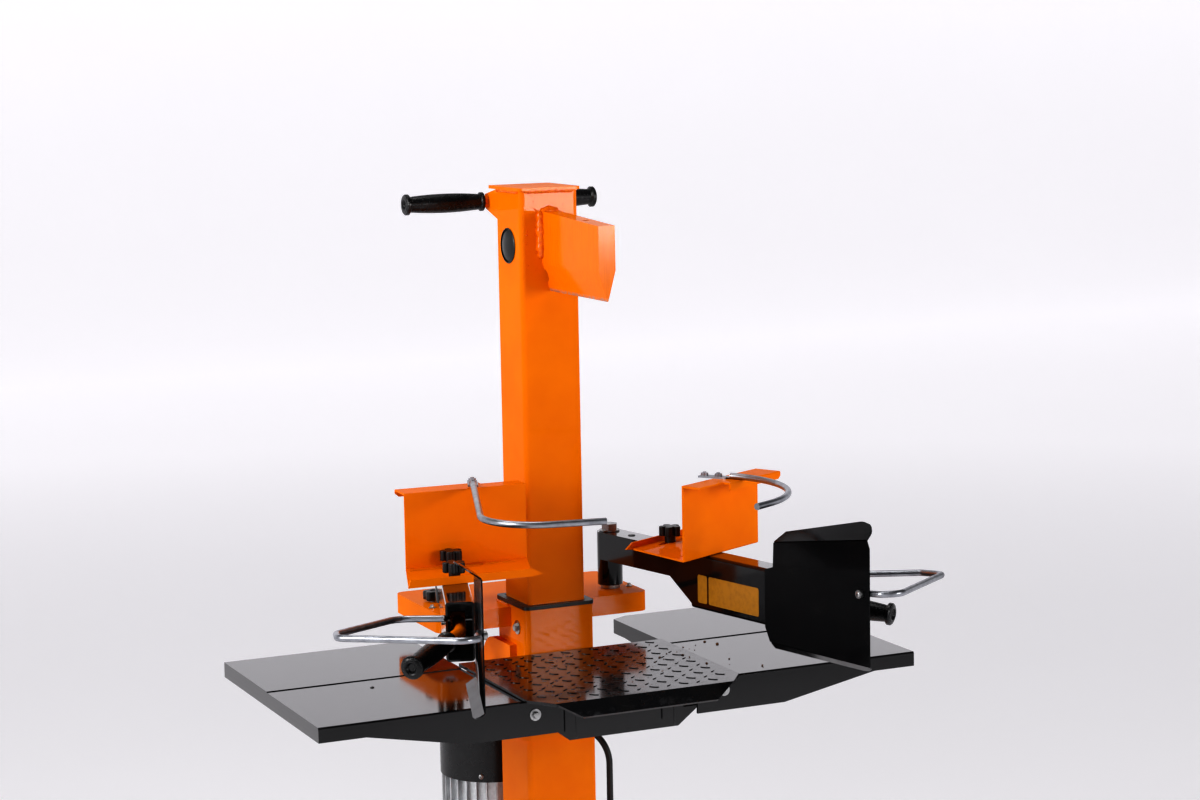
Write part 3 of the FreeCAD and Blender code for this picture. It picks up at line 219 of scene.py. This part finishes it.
def cast_aluminium():
    """Dull cast metal, blotched and lightly pitted."""
    s = Shader("cast_aluminium", Metallic=1.0)
    blotch = s.noise(28, 7, 0.7)
    s.colour(s.mix(s.spread(blotch, 0.4, 0.7), (0.66, 0.67, 0.68, 1), (0.42, 0.43, 0.44, 1)))
    s.rough(blotch, 0.3, 0.7, 0.34, 0.55)
    return s.bump(s.noise(520, 5, 0.7), 0.5, 0.0005).material


def moulded(name, colour, low, high, grain=900, depth=0.0003):
    """Moulded plastic or rubber with a fine grain and a little bloom."""
    s = Shader(name, Specular_IOR_Level=0.45)
    pale = tuple(min(1, c * 1.5 + 0.004) for c in colour[:3]) + (1,)
    s.colour(s.mix(s.spread(s.noise(26, 5, 0.65), 0.45, 0.75, 0, 0.8), colour, pale))
    s.rough(s.noise(70, 5), 0.3, 0.7, low, high)
    return s.bump(s.noise(grain, 3, 0.6), 0.35, depth).material


def dimpled_rubber():
    """Black grip rubber, glossy from hands, with a close pattern of small dimples."""
    s = Shader("grip_rubber", Specular_IOR_Level=0.4)
    bloom = s.spread(s.noise(30, 5, 0.65), 0.45, 0.75)
    s.colour(s.mix(bloom, BLACK, (0.011, 0.011, 0.012, 1)))
    s.rough(s.noise(70, 5), 0.3, 0.7, 0.2, 0.36)
    return s.bump(s.spread(s.cells(420), 0.1, 0.42), 0.6, 0.0005).material


def label_film():
    """A plain panel in warm yellow, set darker all over as painted shade, faintly mottled, with a soft
    gloss.
    """
    s = Shader("plain_label", Coat_Weight=0.3, Coat_Roughness=0.15)
    mottle = s.spread(s.noise(120, 4), 0.4, 0.7)
    # Both yellows are darker than the label's own colour, as painted shade; the mottle between them is
    # random.
    s.colour(s.mix(mottle, (0.46, 0.20, 0.010, 1), (0.37, 0.155, 0.008, 1)))
    s.rough(s.noise(50, 4), 0.3, 0.7, 0.3, 0.42)
    return s.bump(s.noise(300, 2), 0.1, 0.0002).material


def weld_metal():
    """Weld bead under the coat: rippled, with painted shade darkening it where the ripple dips into its
    folds.
    """
    s = Shader("painted_weld", Coat_Weight=0.6, Coat_Roughness=0.1, Specular_IOR_Level=0)
    ripple = s.noise(170, 5, 0.7)
    # The darker red where the ripple is low is painted shade in the bead's folds; the ripple also drives
    # the bump.
    s.colour(s.mix(s.spread(ripple, 0.3, 0.6), (0.66, 0.075, 0.001, 1), ORANGE))
    s.rough(ripple, 0.3, 0.7, 0.28, 0.5)
    return s.bump(ripple, 0.7, 0.0016).material


def bark():
    """Dry bark, dark in its folds."""
    s = Shader("bark_crumb", Roughness=0.85)
    s.colour(s.mix(s.spread(s.noise(180, 4), 0.4, 0.6), (0.20, 0.09, 0.035, 1), (0.06, 0.03, 0.016, 1)))
    return s.bump(s.noise(900, 3), 0.6, 0.0004).material


MATERIALS = {
    "orange_paint": orange_paint(),
    "wedge_paint": wedge_paint(),
    "black_paint": gloss_black("black_gloss_coat", 0.09, 0.15, 0.1, 0.85),
    "black_sheet": gloss_black("black_sheet_coat", 0.14, 0.26, 0.06, 0.12),
    "tread_plate": tread_steel(),
    "knob_plastic": moulded("knob_plastic", (0.007, 0.007, 0.0075, 1), 0.28, 0.42),
    "grip_rubber": dimpled_rubber(),
    "zinc_rod": plated("zinc_rod", (0.36, 0.37, 0.40, 1), 0.28, 0.42),
    "zinc_bolt": plated("zinc_bolt", ZINC, 0.24, 0.42),
    "black_plastic": moulded("black_plastic", (0.012, 0.012, 0.012, 1), 0.3, 0.45),
    "cover_plastic": moulded("cover_plastic", BLACK, 0.24, 0.36, 700, 0.0002),
    "motor_aluminium": cast_aluminium(),
    "box_plastic": moulded("box_plastic", (0.018, 0.018, 0.019, 1), 0.36, 0.52, 600, 0.0005),
    "cable_rubber": moulded("cable_rubber", (0.012, 0.012, 0.012, 1), 0.36, 0.52),
    "green_plastic": moulded("green_plastic", (0.01, 0.24, 0.05, 1), 0.2, 0.32),
    "red_plastic": moulded("red_plastic", (0.5, 0.012, 0.01, 1), 0.2, 0.32),
    "wheel_tyre": moulded("wheel_tyre", (0.018, 0.018, 0.018, 1), 0.5, 0.72, 420, 0.0009),
    "bright_steel": plated("bright_steel", (0.7, 0.7, 0.71, 1), 0.1, 0.24),
    "valve_steel": gloss_black("valve_coat", 0.3, 0.5, 0.3),
    "weld": weld_metal(),
    "label": label_film(),
    "bark": bark(),
}


# ---------------------------------------------------------------- finishing the CAD nodes

ROUND_EDGES = {"orange_paint": 0.0009, "black_paint": 0.0009, "black_sheet": 0.0006,
               "motor_aluminium": 0.0006, "zinc_bolt": 0.0004, "valve_steel": 0.0010, "box_plastic": 0.0006}
SAME_PLACE = 0.00001
BEVEL_ANGLE = math.radians(40)
SHARP_ANGLE = math.radians(32)


def finish_node(node, slot_name):
    """Give a CAD node its material, and round its sharp edges a little so that they catch light.

    Only a bevelled node is welded. The others keep the split edges they came with, which stay crisp.
    """
    mesh = node.data
    mesh.materials.clear()
    mesh.materials.append(MATERIALS["wedge_paint" if "wedge" in node.name else slot_name])
    width = ROUND_EDGES.get(slot_name)
    if width:
        weld = node.modifiers.new("weld", "WELD")
        weld.merge_threshold = SAME_PLACE
        bevel = node.modifiers.new("edge", "BEVEL")
        bevel.width = width
        bevel.segments = 2
        bevel.limit_method = "ANGLE"
        bevel.angle_limit = BEVEL_ANGLE
        bevel.harden_normals = False
        bevel.use_clamp_overlap = True
    mesh.shade_smooth()
    mesh.set_sharp_from_angle(angle=SHARP_ANGLE)
    if width:
        shading = node.modifiers.new("normals", "WEIGHTED_NORMAL")
        shading.keep_sharp = True


SLOTS = {row["node"]: row["material_slot"] for row in frame["record"]["subparts"]}
for name, node in NODES.items():
    finish_node(node, SLOTS[name])


# ---------------------------------------------------------------- shapes for the new pieces

def piece(name, bm, material, body, smooth=35):
    """Turn a bmesh into a piece that rides on a CAD body; edges past smooth degrees stay sharp."""
    mesh = bpy.data.meshes.new(name)
    bmesh.ops.recalc_face_normals(bm, faces=bm.faces)
    bm.to_mesh(mesh)
    bm.free()
    mesh.materials.append(MATERIALS[material])
    mesh.shade_smooth()
    mesh.set_sharp_from_angle(angle=math.radians(smooth))
    made = bpy.data.objects.new(name, mesh)
    bpy.context.scene.collection.objects.link(made)
    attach(made, body)
    return made


def draws(state):
    """Even draws from 0 to 1, the same in each run."""
    span = 2 ** 31
    while True:
        state = (state * 1103515245 + 12345) % span
        yield state / span


def side_word(side):
    return "left" if side < 0 else "right"


def circle(radius, height, sides):
    """Points round the Z axis at one height, or the single point on the axis where there is no radius."""
    if radius < 1e-6:
        return [Vector((0, 0, height))]
    angles = [2 * math.pi * k / sides for k in range(sides)]
    return [Vector((radius * math.cos(angle), radius * math.sin(angle), height)) for angle in angles]


def skin(bm, rings):
    """Faces between neighbouring rings of vertices; a ring of one vertex closes to a point."""
    for a, b in zip(rings, rings[1:]):
        for k in range(max(len(a), len(b))):
            n = k + 1
            loop = (a[k % len(a)], a[n % len(a)], b[n % len(b)], b[k % len(b)])
            corners = list(dict.fromkeys(loop))
            if len(corners) > 2:
                bm.faces.new(corners)


def bead(bm, start, end, radius, seed=0):
    """A weld bead: overlapping ripples along a straight run."""
    start, end = Vector(start), Vector(end)
    run = end - start
    count = max(4, int(run.length / (radius * 0.55)))
    ahead = run.normalized()
    side = ahead.orthogonal().normalized()
    up = ahead.cross(side)
    sides = 10
    angles = [2 * math.pi * k / sides for k in range(sides)]
    rings = []
    for index in range(count + 1):
        swell = radius * (0.9 + 0.16 * math.sin(index * 2.4 + seed) + 0.1 * math.sin(index * 5.1 + seed))
        swell *= min(1.0, 0.45 + 0.4 * min(index, count - index))
        middle = start + ahead * (run.length * index / count)
        ring = [middle + side * swell * math.cos(angle) + up * swell * math.sin(angle) for angle in angles]
        rings.append([bm.verts.new(point) for point in ring])
    skin(bm, rings)
    bm.faces.new(rings[0])
    bm.faces.new(reversed(rings[-1]))


def welds(name, runs, radius, body, material="weld"):
    """One piece with a bead along each (start, end) run."""
    bm = bmesh.new()
    for seed, (start, end) in enumerate(runs):
        bead(bm, start, end, radius, seed)
    return piece(name, bm, material, body, smooth=60)


def lathe(bm, profile, centre, axis, sides=28):
    """Turn (radius, height) points round an axis through centre."""
    turn = Vector((0, 0, 1)).rotation_difference(Vector(axis)).to_matrix()
    rings = []
    for radius, height in profile:
        points = circle(radius, height, sides)
        rings.append([bm.verts.new(Vector(centre) + turn @ point) for point in points])
    skin(bm, rings)


def hex_screw(bm, centre, axis, across, height):
    """Washer, chamfered hex head and a shallow dish in its top."""
    washer = 0.0016
    lathe(bm, ((0, 0), (across * 0.92, 0), (across * 0.95, 0.0004), (across * 0.95, 0.0012),
               (across * 0.9, washer), (0, washer)), centre, axis)
    lift = Vector(centre) + Vector(axis).normalized() * washer
    lathe(bm, ((0, 0), (across * 0.58, 0), (across * 0.58, height * 0.86), (across * 0.5, height),
               (across * 0.34, height), (across * 0.3, height * 0.88), (0, height * 0.88)), lift, axis, 6)


def socket_screw(bm, centre, axis, radius, height):
    """Domed button head with a hexagon socket."""
    slopes = [math.radians(step * 15) for step in range(5)]
    dome = [(radius * math.cos(slope), height * (0.35 + 0.65 * math.sin(slope))) for slope in slopes]
    lathe(bm, ((0, 0), (radius, 0), *dome, (radius * 0.42, height), (radius * 0.42, height * 0.4),
               (0, height * 0.4)), centre, axis)


def arm_axes(side):
    """An arm's pivot, forward direction and direction towards the log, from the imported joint."""
    word = side_word(side)
    swing = next(j for j in frame["joints"] if j["name"] == word + "_arm_swing")
    lever = next(j for j in frame["joints"] if j["name"] == word + "_lever_press")
    pivot = Vector(swing["pos_m"])
    pivot.z = 0
    across = Vector(lever["axis"])
    ahead = Vector((across.y, -across.x, 0))
    return pivot, ahead, across * -side


def on_arm(side, along, towards_log, z):
    """A place on an arm, from its pivot forwards, sideways towards the log and up from the floor."""
    pivot, ahead, inward = arm_axes(side)
    return pivot + ahead * along + inward * towards_log + Vector((0, 0, z))


# ---------------------------------------------------------------- column and wedge details

CAP_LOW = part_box("cap_plate")[0]
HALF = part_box("inner_column")[1].x
CROSSMEMBER_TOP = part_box("arm_crossmember")[1].z


def weld_spatter(low, high):
    """Drops of weld metal on the column round the wedge's root, under the paint."""
    bm = bmesh.new()
    draw = draws(11)
    for _ in range(46):
        side = 1 if next(draw) > 0.5 else -1
        away = 0.009 + 0.018 * next(draw) ** 2
        z = low.z + 0.03 + (high.z - low.z) * next(draw)
        size = 0.0005 + 0.0009 * next(draw) ** 2
        x = side * (high.x + away)
        if abs(x) < HALF - 0.008 and z < CAP_LOW.z - 0.006:
            place = Matrix.Translation((x, -HALF, z))
            bmesh.ops.create_icosphere(bm, subdivisions=2, radius=size, matrix=place)
    piece("weld_spatter", bm, "weld", "ram", smooth=60)


def cap_weld():
    """A bead along each side of the column under its cap, short of the rounded corners."""
    z = CAP_LOW.z - 0.0005
    inset = 0.007
    corners = [(-HALF, -HALF), (HALF, -HALF), (HALF, HALF), (-HALF, HALF)]
    runs = []
    for (ax, ay), (bx, by) in zip(corners, corners[1:] + corners[:1]):
        a, b = Vector((ax, ay, z)), Vector((bx, by, z))
        ahead = (b - a).normalized() * inset
        runs.append((a + ahead, b - ahead))
    welds("cap_weld", runs, 0.0040, "ram")


def wedge_welds():
    """Beads down both sides of the wedge's root and across its top, with their spatter."""
    low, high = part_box("splitting_wedge")
    root, lowest = high.y, low.z + 0.052
    runs = [((x, root, lowest), (x, root, high.z)) for x in (low.x - 0.001, high.x + 0.001)]
    runs.append(((low.x, root, high.z), (high.x, root, high.z)))
    welds("wedge_weld", runs, 0.0090, "ram")
    weld_spatter(low, high)


def handle_welds():
    """Upright beads on both faces of the handle's two cheeks."""
    foot, top = 1.472, 1.53
    cheek, half_thick = 0.021, 0.004
    runs = [((x + edge, HALF, foot), (x + edge, HALF, top))
            for x in (-cheek, cheek) for edge in (-half_thick, half_thick)]
    welds("handle_weld", runs, 0.0026, "ram")


def plug_rims():
    """A thin raised rim round each side plug."""
    low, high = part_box("column_plugs")
    rim = ((0.0262, 0), (0.0275, 0.0004), (0.0283, 0.0012), (0.0275, 0.0022), (0.0262, 0.0026))
    bm = bmesh.new()
    for side in (-1, 1):
        lathe(bm, rim, (side * HALF, 0, (low.z + high.z) / 2), (side, 0, 0), 48)
    piece("plug_rims", bm, "black_plastic", "ram")


def grip_ends():
    """A low ring in the closed end of each carrying grip."""
    ring = ((0.0088, -0.0006), (0.0092, 0.0006), (0.0122, 0.0006), (0.0128, -0.0006), (0.0088, -0.0006))
    bm = bmesh.new()
    for side in (-1, 1):
        low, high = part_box(side_word(side) + "_top_grip")
        middle = (low + high) / 2
        end = low.x if side < 0 else high.x
        lathe(bm, ring, (end, middle.y, middle.z), (side, 0, 0))
    piece("grip_end_rings", bm, "grip_rubber", "ram")


def lever_grip_end(side):
    """A raised ring round the dished end of a lever's grip."""
    end, root = on_arm(side, 0.592, -0.073, 0.902), on_arm(side, 0.441, 0, 0.915)
    ahead = (end - root).normalized()
    tip = end + ahead * 0.008
    ring = ((0.0080, -0.0006), (0.0084, 0.0010), (0.0098, 0.0018), (0.0126, 0.0014), (0.0148, 0.0002),
            (0.0148, -0.001), (0.0080, -0.001))
    bm = bmesh.new()
    lathe(bm, ring, tip, ahead, 40)
    piece(side_word(side) + "_lever_grip_end", bm, "grip_rubber", side_word(side) + "_control")


def crossmember_details(half):
    """Two screws in the cross member's top, and beads where it meets the column."""
    bm = bmesh.new()
    for x in (-0.176, 0.176):
        hex_screw(bm, (x, 0.053, CROSSMEMBER_TOP), (0, 0, 1), 0.0058, 0.004)
    piece("crossmember_screws", bm, "zinc_bolt", "frame")
    z, beside = CROSSMEMBER_TOP + 0.0005, half + 0.001
    runs = [((x, 0.008, z), (x, half - 0.004, z)) for x in (-half - 0.001, beside)]
    runs.append(((-half, beside, z), (half, beside, z)))
    welds("crossmember_weld", runs, 0.003, "frame")


def hook_welds(half):
    """Upright beads where the table's hooks meet the column."""
    foot, top = 0.738, 0.795
    runs = []
    for side in (-1, 1):
        x = half * side + side * 0.001
        for y in (-0.018, 0.094):
            runs.append(((x, y, foot), (x, min(y, half - 0.01), top)))
    welds("hook_weld", runs, 0.0028, "frame")


def foot_weld(half):
    """A bead along each side of the column where it stands on the base plate."""
    base_top, corner = 0.0105, 0.01
    runs = []
    for turn in range(4):
        rotate = Matrix.Rotation(math.radians(90 * turn), 3, "Z")
        start = Vector((-half + corner, -half, base_top))
        end = Vector((half - corner, -half, base_top))
        runs.append((rotate @ start, rotate @ end))
    welds("foot_weld", runs, 0.0035, "frame")


def crossmember_knob():
    """Star knob that locks the crossmember, on a short stud."""
    centre = Vector((-0.153, 0.103, CROSSMEMBER_TOP))
    stud = ((0, 0), (0.0085, 0), (0.0085, 0.0015), (0.004, 0.0016), (0.004, 0.008), (0, 0.008))
    bm = bmesh.new()
    lathe(bm, stud, centre, (0, 0, 1))
    piece("crossmember_stud", bm, "zinc_bolt", "frame")
    lobes, sides, radius, clearance = 5, 60, 0.0165, 0.003
    levels = ((0.006, 0.0), (0.0155, 0.0), (0.0165, 0.0012), (0.0165, 0.0125), (0.0150, 0.0145),
              (0.007, 0.0150), (0.006, 0.0138), (0.0001, 0.0135))
    bm = bmesh.new()
    rings = []
    for size, height in levels:
        ring = []
        for k in range(sides):
            angle = 2 * math.pi * k / sides
            reach = size * (1 + 0.13 * math.cos(lobes * angle) * min(1, size / radius))
            spot = Vector((reach * math.cos(angle), reach * math.sin(angle), height + clearance))
            ring.append(bm.verts.new(centre + spot))
        rings.append(ring)
    skin(bm, rings)
    bm.faces.new(rings[0])
    bm.faces.new(rings[-1])
    piece("crossmember_knob", bm, "knob_plastic", "frame")


# ---------------------------------------------------------------- table details

def table_details():
    """A screw in each wing, and the seams down the centre frame's front."""
    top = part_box("left_table_wing")[1].z
    bm = bmesh.new()
    for x in (-0.347, 0.347):
        socket_screw(bm, (x, -0.13, top - 0.0012), (0, 0, 1), 0.0032, 0.0016)
    piece("table_screws", bm, "black_plastic", "frame")
    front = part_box("table_centre_frame")[0].y - 0.0002
    runs = [((x, front, 0.722), (x, front, 0.785)) for x in (-0.0905, 0.0745)]
    welds("centre_seams", runs, 0.0012, "frame", "black_paint")


def bark_crumbs():
    """Crumbs of bark on the table's middle, each a small chipped stone shape."""
    plate_half, plate_top, wing_from, wing_top = 0.165, 0.795, 0.19, 0.790
    bm = bmesh.new()
    draw = draws(7)
    for _ in range(90):
        x = (next(draw) - 0.5) * 0.5
        y = -0.07 - next(draw) * 0.24
        on_plate = abs(x) < plate_half
        z = plate_top if on_plate else wing_top
        if not on_plate and abs(x) < wing_from:
            continue
        size = 0.0009 + 0.0024 * next(draw) ** 2
        spin = Matrix.Rotation(next(draw) * 6.28, 4, "Z") @ Matrix.Rotation(next(draw) * 6.28, 4, "X")
        scale = Matrix.Diagonal((size, size * (0.4 + 0.5 * next(draw)), size * 0.35, 1))
        place = Matrix.Translation((x, y, z + size * 0.3))
        bmesh.ops.create_icosphere(bm, subdivisions=1, radius=1, matrix=place @ spin @ scale)
    piece("bark_crumbs", bm, "bark", "frame", smooth=10)


# ---------------------------------------------------------------- arm details

def blank_label(side):
    """Plain two-field panel on the arm's face towards the log."""
    face, film = 0.0213, 0.0004
    low, high, corner = 0.880, 0.925, 0.0035
    bm = bmesh.new()
    for start, end in ((0.256, 0.279), (0.283, 0.404)):
        centres = ((end - corner, high - corner, 0), (start + corner, high - corner, 90),
                   (start + corner, low + corner, 180), (end - corner, low + corner, 270))
        outline = []
        for along, z, first in centres:
            for step in range(5):
                angle = math.radians(first + step * 22.5)
                outline.append((along + corner * math.cos(angle), z + corner * math.sin(angle)))
        back = [bm.verts.new(on_arm(side, along, face - film, z)) for along, z in outline]
        front = [bm.verts.new(on_arm(side, along, face, z)) for along, z in outline]
        bm.faces.new(front)
        bm.faces.new(list(reversed(back)))
        skin(bm, (back, front))
    piece(side_word(side) + "_blank_label", bm, "label", side_word(side) + "_arm")


def arm_details(side):
    """Weld at the rod hoop's foot, two plugs in the beam's top and a screw at the hoop."""
    word = side_word(side)
    runs = [(on_arm(side, 0.412, -0.0225, z), on_arm(side, 0.428, -0.0225, z)) for z in (0.929, 0.934)]
    welds(word + "_hoop_weld", runs, 0.0018, word + "_arm", "zinc_rod")
    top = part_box(word + "_arm_beam")[1].z
    plug = ((0, 0), (0.006, 0), (0.006, 0.0006), (0.0052, 0.0012), (0, 0.0012))
    bm = bmesh.new()
    for reach in (0.06, 0.12):
        lathe(bm, plug, on_arm(side, reach, 0, top), (0, 0, 1))
    piece(word + "_arm_plugs", bm, "black_plastic", word + "_arm")
    inward = arm_axes(side)[2]
    bm = bmesh.new()
    socket_screw(bm, on_arm(side, 0.637, 0.0282, 0.9528), inward, 0.004, 0.0016)
    piece(word + "_hoop_screw_top", bm, "zinc_bolt", word + "_arm")


# ---------------------------------------------------------------- power unit and wheels

def tyre_treads(side):
    """Two rows of raised blocks round the tyre, set half a block apart."""
    word = side_word(side)
    low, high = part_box(word + "_wheel")
    middle = (low + high) / 2
    radius = (high.z - low.z) / 2
    blocks = 40
    block = Matrix.Diagonal((0.011, 0.0095, 0.0022, 1))
    bm = bmesh.new()
    for index in range(blocks):
        angle = 2 * math.pi * index / blocks
        for row in (-1, 1):
            shift = angle + (math.pi / blocks if row > 0 else 0)
            spin = Matrix.Translation(middle) @ Matrix.Rotation(shift, 4, "X")
            spot = Matrix.Translation((row * 0.0075, 0, radius - 0.0012))
            bmesh.ops.create_cube(bm, size=1, matrix=spin @ spot @ block)
    made = piece(word + "_tyre_treads", bm, "wheel_tyre", word + "_wheel")
    bevel = made.modifiers.new("edge", "BEVEL")
    bevel.width = 0.0006
    bevel.segments = 2


def hub_cap(side):
    """A domed cap on the wheel's outer face."""
    word = side_word(side)
    low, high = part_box(word + "_wheel")
    middle = (low + high) / 2
    face = high.x if side > 0 else low.x
    dome = ((0, 0), (0.0125, 0), (0.0125, 0.003), (0.009, 0.006), (0, 0.0068))
    bm = bmesh.new()
    lathe(bm, dome, (face, middle.y, middle.z), (side, 0, 0))
    piece(word + "_hub_cap", bm, "black_plastic", word + "_wheel")


def cover_screws():
    """Four screws round the fan cover's lower edge."""
    low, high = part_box("fan_cover")
    middle = (low + high) / 2
    radius = (high.x - low.x) / 2
    bm = bmesh.new()
    for turn in (55, 145, 235, 325):
        way = Vector((math.cos(math.radians(turn)), math.sin(math.radians(turn)), 0))
        spot = middle + way * (radius - 0.0004)
        spot.z = low.z + 0.010
        socket_screw(bm, spot, way, 0.0045, 0.003)
    piece("cover_screws", bm, "zinc_bolt", "frame")


def terminal_screws():
    """Four screws in the terminal box's lid."""
    low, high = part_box("terminal_box")
    inset, upper = 0.009, 0.448
    bm = bmesh.new()
    for y in (low.y + inset, high.y - inset):
        for z in (low.z + inset, upper):
            socket_screw(bm, (high.x, y, z), (1, 0, 0), 0.0032, 0.002)
    piece("terminal_screws", bm, "zinc_bolt", "frame")


def switch_details():
    """Four screws in the switch box's front, and a collar round each button."""
    low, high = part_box("start_button")
    front = low.y + 0.006
    middle = (low.x + high.x) / 2
    bm = bmesh.new()
    for x in (middle - 0.032, middle + 0.032):
        for z in (0.291, 0.404):
            socket_screw(bm, (x, front, z), (0, -1, 0), 0.0030, 0.002)
    piece("switch_screws", bm, "zinc_bolt", "frame")
    collar = ((0.0134, 0), (0.0165, 0), (0.0165, 0.0022), (0.0150, 0.0034), (0.0134, 0.0034))
    bm = bmesh.new()
    for button in ("stop_button", "start_button"):
        low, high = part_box(button)
        lathe(bm, collar, (middle, front, (low.z + high.z) / 2), (0, -1, 0), 40)
    piece("button_collars", bm, "black_plastic", "frame")


cap_weld()
wedge_welds()
handle_welds()
plug_rims()
grip_ends()
COLUMN_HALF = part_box("outer_column")[1].x
crossmember_details(COLUMN_HALF)
hook_welds(COLUMN_HALF)
foot_weld(COLUMN_HALF)
crossmember_knob()
table_details()
bark_crumbs()
blank_label(1)
for hand in (-1, 1):
    arm_details(hand)
    lever_grip_end(hand)
    tyre_treads(hand)
    hub_cap(hand)
cover_screws()
terminal_screws()
switch_details()


# ---------------------------------------------------------------- floor, light and camera

def studio():
    """Plain pale floor that curves up into a backdrop; it glows as painted light, a little brighter far
    from the machine.
    """
    floor_mesh = bpy.data.meshes.new("floor")
    bm = bmesh.new()
    front, back, half_width = -22.0, 10.0, 20
    curve, height, steps = 3.0, 9.0, 12
    profile = [(front, 0.0), (back, 0.0)]
    for step in range(1, steps + 1):
        angle = math.radians(step * 90 / steps)
        profile.append((back + curve * math.sin(angle), curve * (1 - math.cos(angle))))
    profile.append((back + curve, height))
    lines = [[bm.verts.new((x, y, z)) for y, z in profile] for x in (-half_width, half_width)]
    for k in range(len(profile) - 1):
        bm.faces.new((lines[0][k], lines[1][k], lines[1][k + 1], lines[0][k + 1]))
    bm.to_mesh(floor_mesh)
    bm.free()
    floor_mesh.shade_smooth()
    s = Shader("studio_floor", Roughness=0.7, Emission_Color=(0.98, 0.96, 1.0, 1))
    reach = s.add("ShaderNodeVectorMath", operation="LENGTH")
    s.link(s.place, reach.inputs[0])
    # The emission is painted light on the floor, growing stronger with distance from the machine.
    s.link(s.spread(reach.outputs["Value"], 1.2, 7.5, 0.18, 0.42), s.principled.inputs["Emission Strength"])
    s.colour(s.mix(s.noise(0.8, 2), (0.74, 0.73, 0.745, 1), (0.78, 0.77, 0.785, 1)))
    floor_mesh.materials.append(s.material)
    floor = bpy.data.objects.new("floor", floor_mesh)
    bpy.context.scene.collection.objects.link(floor)


def soft_light(name, place, target, size, power, mirrored=True):
    """Area lamp; one that is not mirrored lights surfaces without its shape showing in gloss paint."""
    data = bpy.data.lights.new(name, "AREA")
    data.shape = "RECTANGLE"
    data.size, data.size_y = size
    data.energy = power
    lamp = bpy.data.objects.new(name, data)
    bpy.context.scene.collection.objects.link(lamp)
    lamp.location = place
    lamp.visible_glossy = mirrored
    lamp.rotation_mode = "QUATERNION"
    lamp.rotation_quaternion = (Vector(target) - Vector(place)).to_track_quat("-Z", "Y")


def eye_level_camera():
    """Standing eye level, a little left of the operator's place, with a short telephoto lens."""
    yaw, pitch, roll = (math.radians(a) for a in (24.51, 7.72, -1.06))
    ahead = Vector((math.sin(yaw) * math.cos(pitch), math.cos(yaw) * math.cos(pitch), -math.sin(pitch)))
    level = Vector((math.cos(yaw), -math.sin(yaw), 0))
    upward = level.cross(ahead)
    eye = Vector((-1.6994, -3.9573, 1.7766))
    right = level * math.cos(roll) + upward * math.sin(roll)
    up = upward * math.cos(roll) - level * math.sin(roll)
    data = bpy.data.cameras.new("camera")
    data.lens = 81.0
    data.sensor_width = 36
    data.clip_end = 60
    camera = bpy.data.objects.new("camera", data)
    bpy.context.scene.collection.objects.link(camera)
    camera.matrix_world = Matrix((
        (right.x, up.x, -ahead.x, eye.x),
        (right.y, up.y, -ahead.y, eye.y),
        (right.z, up.z, -ahead.z, eye.z),
        (0, 0, 0, 1)))
    bpy.context.scene.camera = camera


def world():
    """Soft sky, brightest low down, which is what gloss paint mirrors."""
    sky = bpy.data.worlds.new("studio")
    sky.use_nodes = True
    background = sky.node_tree.nodes["Background"]
    background.inputs["Color"].default_value = (0.93, 0.93, 0.95, 1)
    place = sky.node_tree.nodes.new("ShaderNodeTexCoord")
    split = sky.node_tree.nodes.new("ShaderNodeSeparateXYZ")
    fade = sky.node_tree.nodes.new("ShaderNodeMapRange")
    for key, value in zip(RANGE_INPUTS, (0.05, 0.25, 0.75, 0.12)):
        fade.inputs[key].default_value = value
    sky.node_tree.links.new(place.outputs["Generated"], split.inputs["Vector"])
    sky.node_tree.links.new(split.outputs["Z"], fade.inputs["Value"])
    sky.node_tree.links.new(fade.outputs["Result"], background.inputs["Strength"])
    bpy.context.scene.world = sky
    bpy.context.scene.view_settings.view_transform = "Standard"
    bpy.context.scene.view_settings.look = "High Contrast"


studio()
soft_light("key", (-3.6, -0.7, 2.5), (0, 0, 1.05), (1.5, 2.0), 88)
soft_light("fill", (3.2, -2.3, 1.7), (0, 0, 0.95), (1.4, 2.0), 34, mirrored=False)
soft_light("gloss", (1.4, -3.3, 1.66), (0, 0, 1.5), (0.45, 0.9), 27)
soft_light("top", (-0.4, 0.6, 3.6), (0, 0, 0.9), (1.6, 1.6), 22)
world()
eye_level_camera()
